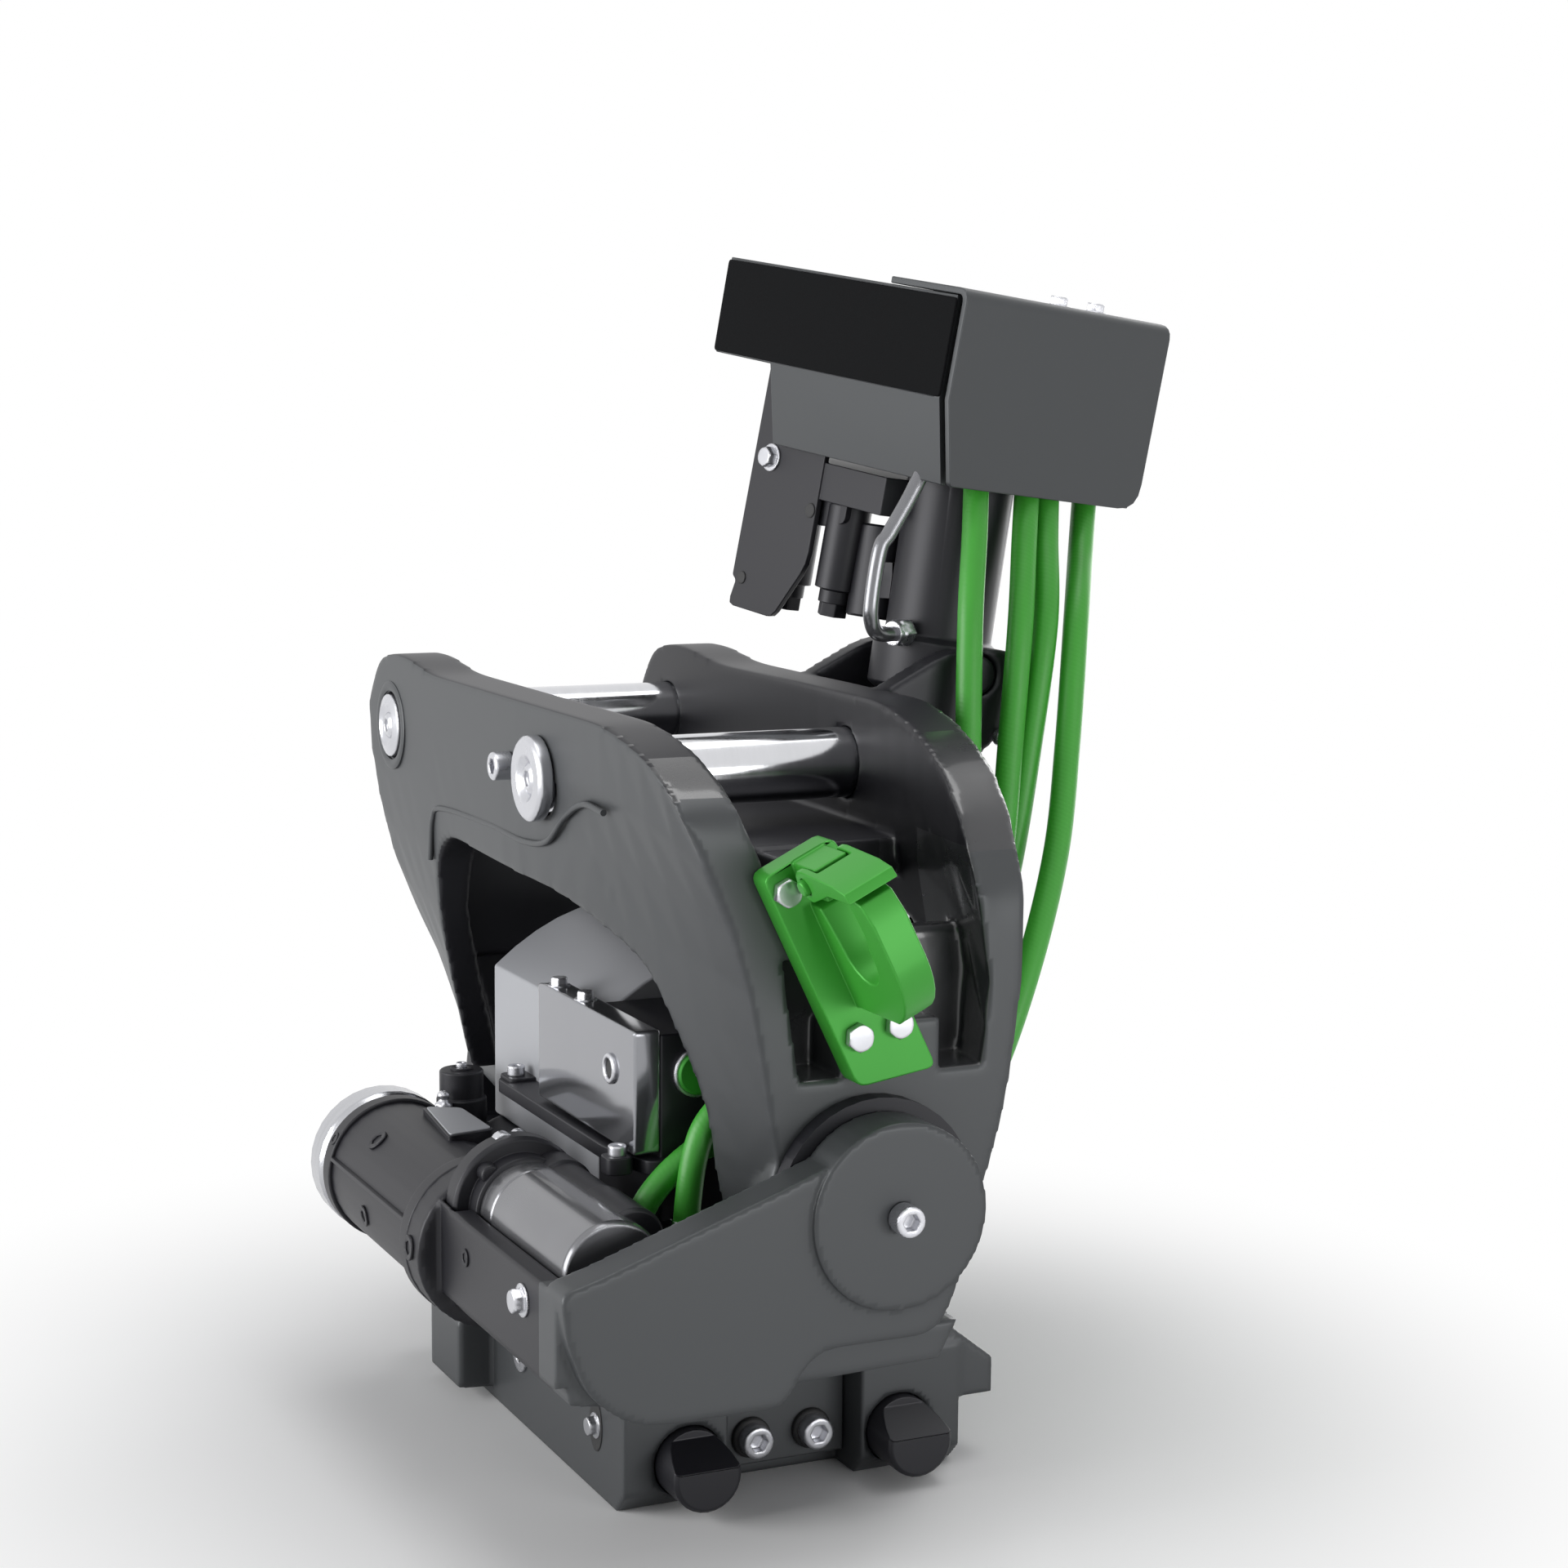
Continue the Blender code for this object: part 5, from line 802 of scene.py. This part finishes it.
def make_tube_trim():
    """Rings, bosses, name plate block, nipples and screws of the worm tube and the gearbox's top."""
    bm = bmesh.new()
    for low, high, radius in ((0.0580, 0.0668, 0.0316), (-0.0475, -0.0440, 0.0322), (-0.0560, -0.0475, 0.0334)):
        spin(bm, [(0.0290, 0), (radius - 0.0006, 0), (radius, 0.0006), (radius, high - low - 0.0006),
                  (radius - 0.0006, high - low), (0.0290, high - low)], (WORM_X, low, WORM_Z), (0, 1, 0), 64)
    block(bm, (-0.1406, -0.1385), (-0.046, 0.058), (0.1080, 0.1098))
    for x, y, low, tiers in ((-0.0895, 0.0560, 0.114, [(0.0088, 0.122), (0.0066, 0.1265)]),
                             (-0.0850, -0.0272, 0.112, [(0.0125, 0.1240), (0.0108, 0.1262), (0.0076, 0.1285)]),
                             (-0.0775, 0.0665, 0.112, [(0.0112, 0.1290), (0.0098, 0.1412)])):
        profile = [(0, 0)]
        for radius, top in tiers:
            profile += [(radius, profile[-1][1]), (radius, top - low - 0.0007), (radius - 0.0007, top - low)]
        spin(bm, profile + [(0, tiers[-1][1] - low)], (x, y, low), (0, 0, 1), 40)
    plate = rounded([(-0.1052, 0.0380), (-0.0895, 0.0296), (-0.0890, -0.0100), (-0.1108, -0.0137)], 0.003)
    slab(bm, plate, "Z", 0.1180, 0.1331)
    fit(new_piece("tube_trim", bm, black_paint(), 0.0003), "gearbox")
    top = rounded([(-0.1040, 0.0362), (-0.0906, 0.0288), (-0.0900, -0.0087), (-0.1095, -0.0122)], 0.0025)
    fit(new_piece("blank_name_plate", slab(bmesh.new(), top, "Z", 0.1329, 0.1337), grey_paint(), 0.0002),
        "gearbox")
    fasteners("grease_nipples", "grease_nipple", [((-0.0895, 0.0560, 0.1264), (0, 0, 1), 0.0042),
                                                  ((-0.0850, -0.0272, 0.1284), (0, 0, 1), 0.0044)],
              steel(), "gearbox")
    spots = [(*tube_spot(angle, y, r), size) for angle, y, r, size in
             ((130, 0.025, 0.0300, 0.0050), (178, -0.060, 0.0330, 0.0052), (190, 0.0114, 0.0300, 0.0046),
              (150, 0.0620, 0.0314, 0.0030))]
    fasteners("tube_screws", "grub_screw", spots + [((-0.0775, 0.0665, 0.1412), (0, 0, 1), 0.0050)],
              black_paint(), "gearbox")
    rail_x = min(v.co.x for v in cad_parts["gearbox_housing"].data.vertices if v.co.y < -0.1)
    fasteners("gearbox_screws", "cap_screw",
              [((-0.1084, -0.0716, 0.1450), (0, -1, 0), 0.0044),
               ((-0.0818, -0.0716, 0.1085), (0, -1, 0), 0.0044),
               ((-0.0775, 0.0665, 0.1414), (0, 0, 1), 0.0024)],
              steel(), "gearbox")
    fasteners("rail_bolts", "hex_head", [((rail_x - 0.0001, -0.1657, 0.1104), (-1, 0, 0), 0.0048)],
              steel(), "gearbox")
    fasteners("rail_screw", "grub_screw", [((rail_x - 0.0001, -0.1014, 0.1084), (-1, 0, 0), 0.0036)],
              black_paint(), "gearbox")
    fasteners("valve_screws", "cap_screw", [((-0.0665, 0.0256, 0.1465), (0, 0, 1), 0.0038),
                                            ((-0.0755, -0.1140, 0.1462), (0, 0, 1), 0.0036)],
              steel(), "gearbox")


def make_motor():
    """Oil motor with its flange, turned body and upper valve cartridge."""
    axis = (MOTOR_AXIS_X, MOTOR_FACE_Y, MOTOR_AXIS_Z)
    upper = (MOTOR_AXIS_X + 0.0135, MOTOR_FACE_Y, MOTOR_AXIS_Z + 0.0075)
    bm = spin(bmesh.new(), [(0, 0), (0.0275, 0), (0.0275, 0.0085), (0.0262, 0.0100), (0.0212, 0.0100),
                            (0.0212, 0.0180), (0.0196, 0.0190), (0, 0.0190)], axis, (0, -1, 0), 48)
    fit(new_piece("motor_flange", bm, black_paint(), 0.0004), "gearbox", "oil_motor")
    bm = spin(bmesh.new(), [(0, 0.0185), (0.0196, 0.0185), (0.0196, 0.0300), (0.0190, 0.0306), (0.0190, 0.0318),
                            (0.0200, 0.0324), (0.0200, 0.1080), (0.0186, 0.1100), (0, 0.1100)],
              axis, (0, -1, 0), 64)
    fit(new_piece("motor_body", bm, motor_finish(), 0.0004), "gearbox")
    bm = spin(bmesh.new(), [(0, 0.0090), (0.0128, 0.0090), (0.0128, 0.0240), (0.0116, 0.0250), (0.0116, 0.0620),
                            (0.0124, 0.0630), (0.0124, 0.0960), (0.0112, 0.0975), (0, 0.0975)],
              upper, (0, -1, 0), 40)
    spin(bm, [(0, 0.0085), (0.0040, 0.0085), (0.0040, 0.0160), (0.0034, 0.0166), (0, 0.0166)],
         (MOTOR_AXIS_X - 0.0140, MOTOR_FACE_Y, MOTOR_AXIS_Z + 0.0150), (0, -1, 0), 24)
    fit(new_piece("motor_cartridge", bm, black_paint(), 0.0004), "gearbox")


def make_valves():
    """Oil distribution block with its arched cover, side cover, plug and screws."""
    dress("valve_block_rear", "gearbox", grey_paint(), 0.0012, 3)
    dress("valve_block_front", "gearbox", black_paint(), 0.0010)
    side = [(-0.1205, 0.1468), (-0.0140, 0.1468), (-0.0140, 0.1952), (-0.0200, 0.1960), (-0.1205, 0.1960)]
    bm = slab(bmesh.new(), rounded(side, 0.0015, 3), "X", -0.0710, -0.0600)
    fit(new_piece("side_cover", bm, bright_cover(), 0.0009), "gearbox", "valve_side_cover")
    bm = spin(bmesh.new(), [(0, 0), (0.0085, 0), (0.0085, 0.0028), (0.0078, 0.0036), (0.0020, 0.0036),
                            (0.0018, 0.0030), (0, 0.0030)], (-0.045, -0.1208, 0.178), (0, -1, 0), 40)
    fit(new_piece("port_plug", bm, green_paint(), 0.0002), "gearbox", "valve_port_plug")
    bm = spin(bmesh.new(), [(0.0086, 0), (0.0098, 0), (0.0098, 0.0016), (0.0092, 0.0020), (0.0086, 0.0020)],
              PORT_PLACE, (0, -1, 0), 40)
    spin(bm, [(0, 0.003), (0.0017, 0.003), (0.0017, 0.0042), (0, 0.0042)], PORT_PLACE, (0, -1, 0), 20)
    fit(new_piece("port_plug_rim", bm, steel()), "gearbox")
    bm = bmesh.new()
    for top, outline in (
            (0.1450, [(-0.0740, 0.0300), (-0.0740, -0.0950), (-0.0660, -0.1245), (0.0520, -0.1245), (0.0520, 0.0300)]),
            (0.1462, [(-0.0812, -0.1085), (-0.0812, -0.1195), (-0.0700, -0.1195), (-0.0700, -0.1085)]),
            (0.1464, [(-0.0720, 0.0180), (-0.0580, 0.0180), (-0.0580, 0.0332), (-0.0720, 0.0332)])):
        slab(bm, rounded(outline, 0.004), "Z", SHELF_LOW, top)
    fit(new_piece("valve_shelf", bm, black_paint(), 0.0006), "gearbox")
    fasteners("side_cover_screws", "hex_head", [((-0.0660, -0.0260, 0.1959), (0, 0, 1), 0.0036),
                                                ((-0.0660, -0.0560, 0.1959), (0, 0, 1), 0.0036),
                                                ((-0.0300, -0.0950, 0.1939), (0, 0, 1), 0.0036)],
              steel(), "gearbox")
    bm = spin(bmesh.new(), [(0.0040, 0), (0.0062, 0), (0.0062, 0.0010), (0.0056, 0.0016), (0.0044, 0.0016),
                            (0.0040, 0.0010)], SIDE_PORT_PLACE, (-1, 0, 0), 32)
    fit(new_piece("side_port_ring", bm, steel()), "gearbox")
    bm = spin(bmesh.new(), [(0, 0), (0.0039, 0), (0.0039, 0.0005), (0, 0.0005)], SIDE_PORT_PLACE,
              (-1, 0, 0), 28)
    fit(new_piece("side_port", bm, rubber()), "gearbox")


def make_hoses():
    """Green hoses swept along the source's routes, with crimped ferrules and nuts at their ends."""
    given = finish_of()
    for i, points in enumerate(SUPPLY_HOSES):
        node = "supply_hose_%d" % (i + 1)
        piece = tube(node + "_skin", points, given.supply_hose_radius, hose_skin())
        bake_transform(piece)
        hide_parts(node)
    for node, points in MOTOR_HOSES.items():
        fit(tube(node + "_skin", points, given.motor_hose_radius, hose_skin(), 80), "gearbox", node)
    bm = bmesh.new()
    for points in SUPPLY_HOSES:
        end = Vector(points[-1])
        crimp(bm, end, Vector(points[-2]) - end, given.supply_hose_radius)
    crimp(bm, (-0.0560, -0.1370, 0.0945), (0, -0.02, 1), given.motor_hose_radius, 0.030)
    crimp(bm, (-0.0755, -0.1265, 0.0940), (0, 0, 1), given.motor_hose_radius)
    crimp(bm, (-0.0200, -0.1206, 0.1755), (0, -1, 0), given.motor_hose_radius, 0.004)
    spin(bm, [(0, 0), (0.0078, 0, "hex"), (0.0078, 0.0050, "hex"), (0.0068, 0.0058), (0.0068, 0.0128),
              (0.0058, 0.0136), (0, 0.0136)], (-0.0120, -0.1204, 0.1450), (0, -1, 0), 36)
    fit(new_piece("hose_fittings", bm, chrome()), "gearbox", slot="steel")


def crimp(bm, end, way, radius, length=0.018):
    """A hex nut and a crimped ferrule around a hose from its end, along the way that the hose leaves."""
    r = radius * 1.22
    profile = [(0, 0), (r * 1.12, 0, "hex"), (r * 1.12, 0.0055, "hex"), (r * 0.96, 0.0064), (r, 0.0072)]
    rings = max(1, int((length - 0.006) / 0.0045))
    step = (length - 0.0072) / rings
    for i in range(rings):
        at = 0.0072 + i * (length - 0.0072) / rings
        for radius_share, step_share in ((1, 0.60), (0.95, 0.72), (0.95, 0.92), (1, 1)):
            profile.append((r * radius_share, at + step * step_share))
    spin(bm, profile + [(radius * 0.9, length), (0, length)], end, way, 36)


def make_rotor():
    """Rotor hub, worm wheel and bearings, coupler frame with its cover, screws and wings."""
    dress("rotor_hub", "rotor", charcoal_paint(), 0.0010)
    casting("coupler_frame", "rotor", [charcoal_paint()], finish_of().casting_grid * 0.85, 2)
    dress("coupler_front_cover", "rotor", charcoal_paint(), 0.0010, 3)
    dress("coupler_bottom_plate", "rotor", charcoal_paint(), 0.0006)
    coat_node("worm_wheel", bronze())
    coat_node("rotor_seal", rubber())
    for node in ("lower_bearing", "upper_bearing"):
        coat_node(node, turned_steel())
    coat_node("worm", turned_steel())
    dress("lock_cylinder_barrel", "rotor", turned_steel(), 0.0006)
    bm = bmesh.new()
    for x in (-0.013, 0.014):
        spin(bm, [(0.0048, 0), (0.0084, 0), (0.0084, 0.0018), (0.0076, 0.0026), (0.0052, 0.0026)],
             (x, -0.1041, 0.019), (0, -1, 0), 32)
    oval = [(-0.0902 + 0.0068 * cos(tau * i / 32), 0.0284 + 0.0108 * sin(tau * i / 32)) for i in range(32)]
    slab(bm, oval, "X", -0.07535, -0.0745)
    spin(bm, [(0, 0), (0.0046, 0), (0.0046, 0.0004), (0, 0.0004)], (-0.0750, -0.0361, 0.0323), (-1, 0, 0), 24)
    fit(new_piece("coupler_seals", bm, rubber()), "rotor")
    fasteners("coupler_side_bolts", "hex_head", [((-0.0752, -0.0902, 0.0284), (-1, 0, 0), 0.0040)],
              steel(), "rotor")
    fasteners("coupler_washers", "washer", [((-0.0749, -0.0033, 0.0306), (-1, 0, 0), 0.0072),
                                            ((-0.0913, -0.0405, 0.0680), (-0.91, -0.41, 0), 0.0066)],
              steel(), "rotor")
    for node in ("front_cover_screw_left", "front_cover_screw_right"):
        dress(node, "rotor", steel(), 0.0003)


def make_lock():
    """Lock pins with their ramps, and the yoke that joins them."""
    for node in ("lock_pin_left", "lock_pin_right"):
        dress(node, "lock", black_paint(), 0.0005)
    dress("lock_yoke", "lock", steel(), 0.0006)


def make_cylinder():
    """Tilt cylinder with its head, gland, rod and pins, and the valve on its barrel."""
    dress("tilt_cylinder_barrel", "cylinder", black_paint(), 0.0010)
    fasteners("trunnion_bolts", "cap_screw", [((0.1345, -0.0392, 0.2925), (0, -1, 0), 0.0040)],
              steel(), "hitch")
    pipe = [(0.1080, -0.022, 0.4200), (0.1010, -0.022, 0.4028), (0.0882, -0.022, 0.3818),
            (0.0835, -0.022, 0.3748), (0.0800, -0.022, 0.3560), (0.0800, -0.021, 0.3440),
            (0.0860, -0.017, 0.3375), (0.1020, -0.010, 0.3370)]
    fit(tube("cylinder_pipe", pipe, 0.0034, motor_finish(), 90), "cylinder")
    nut = [(0, 0), (0.0064, 0, "hex"), (0.0064, 0.0060, "hex"), (0.0052, 0.0068), (0.0052, 0.0095), (0, 0.0095)]
    bm = spin(bmesh.new(), nut, (0.1030, -0.0095, 0.3370), (-1, -0.43, 0), 24)
    fit(new_piece("cylinder_pipe_nut", bm, steel()), "cylinder")
    dress("tilt_cylinder_gland", "cylinder", turned_steel(), 0.0004)
    dress("counterbalance_valve", "cylinder", black_paint(), 0.0007)
    dress("tilt_cylinder_rod", "piston_rod", chrome(), 0.0004)
    dress("rod_eye_pin", "piston_rod", steel(), 0.0003)
    coat_node("tilt_piston", turned_steel())


def make_cover():
    """Sheet cover over the cylinder's head with its black strip, and the bracket plate behind it."""
    dress("head_cover", "cylinder", charcoal_paint(), 0.0005)
    dress("head_cover_front", "cylinder", charcoal_paint(), 0.0006)
    dress("hose_bracket_plate", "cylinder", black_paint(), 0.0005)
    strip = rounded([(0.0012, -0.0433), (0.0012, -0.0012), (0.1628, -0.0012), (0.1628, -0.0433)], 0.002)
    bm = slab(bmesh.new(), strip, "X", -0.0020, -0.0010, COVER_PLACE)
    fit(new_piece("cover_strip", bm, black_plastic(), 0.0), "cylinder")
    turn = COVER_PLACE.to_3x3()
    bolts = [((0.0831, 0.030, 0.0031), (0, 0, 1), 0.0044), ((0.1060, 0.030, 0.0031), (0, 0, 1), 0.0044),
             ((0.0139, 0.1266, -0.0866), (-1, 0, 0), 0.0048)]
    fasteners("cover_bolts", "hex_head",
              [(COVER_PLACE @ Vector(seat), turn @ Vector(way), radius) for seat, way, radius in bolts],
              steel(), "cylinder")
    bm = bmesh.new()
    for y, z, r in ((0.0923, -0.1056, 0.0034), (0.1335, -0.1440, 0.0030)):
        spin(bm, [(0, 0), (r, 0), (r, 0.0003), (0, 0.0003)], (0.0139, y, z), (-1, 0, 0), 24, COVER_PLACE)
    fit(new_piece("bracket_holes", bm, rubber()), "cylinder")
    bm = slab(bmesh.new(), rounded([(0.0720, -0.0830), (0.0720, -0.1080), (0.0900, -0.1120), (0.1240, -0.1000),
                                    (0.1250, -0.0830)], 0.003), "X", 0.0180, 0.0330, COVER_PLACE)
    body = [(0, 0), (0.0074, 0), (0.0074, 0.006), (0.0100, 0.0065), (0.0100, 0.044), (0.0086, 0.046), (0, 0.046)]
    nut = [(0, 0), (0.0070, 0, "hex"), (0.0070, 0.007, "hex"), (0, 0.007)]
    for y, z in ((0.1140, -0.1480), (0.0800, -0.1450)):
        spin(bm, body, (0.0270, y, z), (0, 0, 1), 32, COVER_PLACE)
        spin(bm, nut, (0.0270, y, z - 0.006), (0, 0, 1), 24, COVER_PLACE)
    fit(new_piece("bracket_valves", bm, black_paint(), 0.0004), "cylinder")


# Stage

CAMERA_PLACE = Vector((-0.49307, -1.15171, 0.44791))
CAMERA_TURN, CAMERA_TILT, CAMERA_ROLL = radians(-25.2), radians(7.9), radians(0.45)
CAMERA_LENS_MM, CAMERA_SENSOR_MM = 67.5, 36
AMBIENT = 0.24
FLOOR_LEVEL, FLOOR_REACH = -0.0002, 30
SHADOW_KEPT, SHADOW_GONE = 0.17, 0.46
# Each lamp's place, the place it is aimed at, its two sides in metres and its watts
LAMPS = {
    "left_softbox": ((-1.8, 0.25, 0.55), (0, 0, 0.22), (1.3, 1.1), 29),
    "top_softbox": ((0.2, -0.1, 1.9), (0, 0, 0.2), (1.2, 1.0), 11),
    "front_fill": ((0.6, -1.8, 0.25), (0, 0, 0.15), (0.9, 0.5), 9),
    "rear_right_softbox": ((1.6, 0.9, 0.7), (0, 0, 0.25), (1.0, 1.4), 14),
}


def white_backdrop(bench, lit):
    """Mix a lit closure with plain white that the camera, mirrors and glass see."""
    path = bench.add("ShaderNodeLightPath").outputs
    seen = bench.maths("MAXIMUM", path["Is Camera Ray"], path["Is Glossy Ray"])
    seen = bench.maths("MAXIMUM", seen, path["Is Transmission Ray"])
    white = bench.add("ShaderNodeBackground", {"Color": (1, 1, 1, 1), "Strength": 1.0}).outputs[0]
    return bench.add("ShaderNodeMixShader", {0: seen, 1: lit, 2: white}).outputs[0]


def area_lamp(name, place, aim, size, power):
    """A rectangular lamp that faces the place it is aimed at."""
    lamp = bpy.data.lights.new(name, "AREA")
    lamp.shape = "RECTANGLE"
    lamp.size, lamp.size_y = size
    lamp.energy = power
    item = placed(name, lamp)
    item.location = place
    item.rotation_euler = (Vector(aim) - Vector(place)).to_track_quat("-Z", "Y").to_euler()


def make_stage():
    """Floor, lamps, white world and the camera at the photograph's angle."""
    scene = bpy.context.scene
    scene.view_settings.view_transform = "Standard"
    world = bpy.data.worlds.new("studio")
    scene.world = world
    world.use_nodes = True
    tree = world.node_tree
    tree.nodes.clear()
    bench = Bench(tree)
    ambient = bench.add("ShaderNodeBackground", {"Color": (0.97, 0.98, 1.0, 1), "Strength": AMBIENT}).outputs[0]
    out = bench.add("ShaderNodeOutputWorld")
    tree.links.new(white_backdrop(bench, ambient), out.inputs["Surface"])

    across = (-FLOOR_REACH, FLOOR_REACH)
    bm = block(bmesh.new(), across, across, (-0.02, FLOOR_LEVEL))
    floor_material = bpy.data.materials.new("studio_floor")
    floor_material.use_nodes = True
    floor_bench = Bench(floor_material.node_tree)
    shader = floor_material.node_tree.nodes["Principled BSDF"]
    place = floor_bench.add("ShaderNodeTexCoord").outputs["Object"]
    cloud = floor_bench.add("ShaderNodeTexNoise", {"Vector": place, "Scale": 3.0}).outputs["Fac"]
    shade = floor_bench.blend(cloud, (0.93, 0.93, 0.93, 1), (0.96, 0.96, 0.96, 1))
    floor_material.node_tree.links.new(shade, shader.inputs["Base Color"])
    shader.inputs["Roughness"].default_value = 0.9
    shader.inputs["Specular IOR Level"].default_value = 0.0
    away = floor_bench.add("ShaderNodeVectorMath", {0: place}, operation="LENGTH").outputs["Value"]
    fade = floor_bench.add("ShaderNodeMapRange", {"Value": away, "From Min": SHADOW_KEPT,
                                                   "From Max": SHADOW_GONE},
                           interpolation_type="SMOOTHSTEP").outputs[0]
    path = floor_bench.add("ShaderNodeLightPath").outputs
    seen = floor_bench.maths("MAXIMUM", path["Is Camera Ray"], path["Is Glossy Ray"])
    white = floor_bench.add("ShaderNodeEmission", {"Color": (1, 1, 1, 1), "Strength": 1.0}).outputs[0]
    mixed = floor_bench.add("ShaderNodeMixShader", {0: floor_bench.maths("MULTIPLY", fade, seen),
                                                    1: shader.outputs[0], 2: white}).outputs[0]
    surface = floor_material.node_tree.nodes["Material Output"].inputs["Surface"]
    floor_material.node_tree.links.new(mixed, surface)
    floor = new_piece("studio_floor", bm, floor_material)

    for name, settings in LAMPS.items():
        area_lamp(name, *settings)

    camera = bpy.data.cameras.new("camera")
    camera.lens, camera.sensor_width = CAMERA_LENS_MM, CAMERA_SENSOR_MM
    item = placed("camera", camera)
    back = Vector((sin(CAMERA_TURN) * cos(CAMERA_TILT), -cos(CAMERA_TURN) * cos(CAMERA_TILT), sin(CAMERA_TILT)))
    side = (-back).cross(Vector((0, 0, 1))).normalized()
    up = side.cross(-back)
    right = side * cos(CAMERA_ROLL) + up * sin(CAMERA_ROLL)
    top = up * cos(CAMERA_ROLL) - side * sin(CAMERA_ROLL)
    turn = Matrix((right, top, back)).transposed().to_4x4()
    item.matrix_world = Matrix.Translation(CAMERA_PLACE) @ turn
    scene.camera = item


def make_operator(key, label, work):
    """An operator class that runs one piece function."""
    def execute(self, context):
        work()
        return {"FINISHED"}
    return type("TILTROTATOR_OT_" + key, (bpy.types.Operator,),
                {"bl_idname": "tiltrotator." + key, "bl_label": label, "__doc__": work.__doc__,
                 "execute": execute})


STEPS = [("stage", "Stage", make_stage), ("hitch", "Hitch casting", make_hitch),
         ("pins", "Hitch pins", make_pins),
         ("hook", "Lifting hook", make_hook), ("gearbox", "Gearbox", make_gearbox),
         ("tube_trim", "Tube and top fittings", make_tube_trim), ("motor", "Oil motor", make_motor),
         ("valves", "Oil distribution block", make_valves), ("hoses", "Hoses", make_hoses),
         ("rotor", "Rotor and coupler", make_rotor), ("lock", "Coupler lock", make_lock),
         ("cylinder", "Tilt cylinder", make_cylinder), ("cover", "Head cover", make_cover)]
OPERATORS = [make_operator(*step) for step in STEPS]


class TILTROTATOR_PT_pieces(bpy.types.Panel):
    """Lists the sizes and the pieces of the tilt rotator."""

    bl_label = "Tilt rotator"
    bl_space_type = "VIEW_3D"
    bl_region_type = "UI"
    bl_category = "Tilt rotator"

    def draw(self, context):
        for name in TiltRotatorFinish.__annotations__:
            self.layout.prop(context.scene.tilt_rotator, name)
        for operator in OPERATORS:
            self.layout.operator(operator.bl_idname)


CLASSES = [TiltRotatorFinish, *OPERATORS, TILTROTATOR_PT_pieces]


def register():
    for item in CLASSES:
        bpy.utils.register_class(item)
    bpy.types.Scene.tilt_rotator = PointerProperty(type=TiltRotatorFinish)


def unregister():
    del bpy.types.Scene.tilt_rotator
    for item in reversed(CLASSES):
        bpy.utils.unregister_class(item)


def main():
    register()
    for key, _, _ in STEPS:
        getattr(bpy.ops.tiltrotator, key)()


if __name__ == "__main__":
    main()
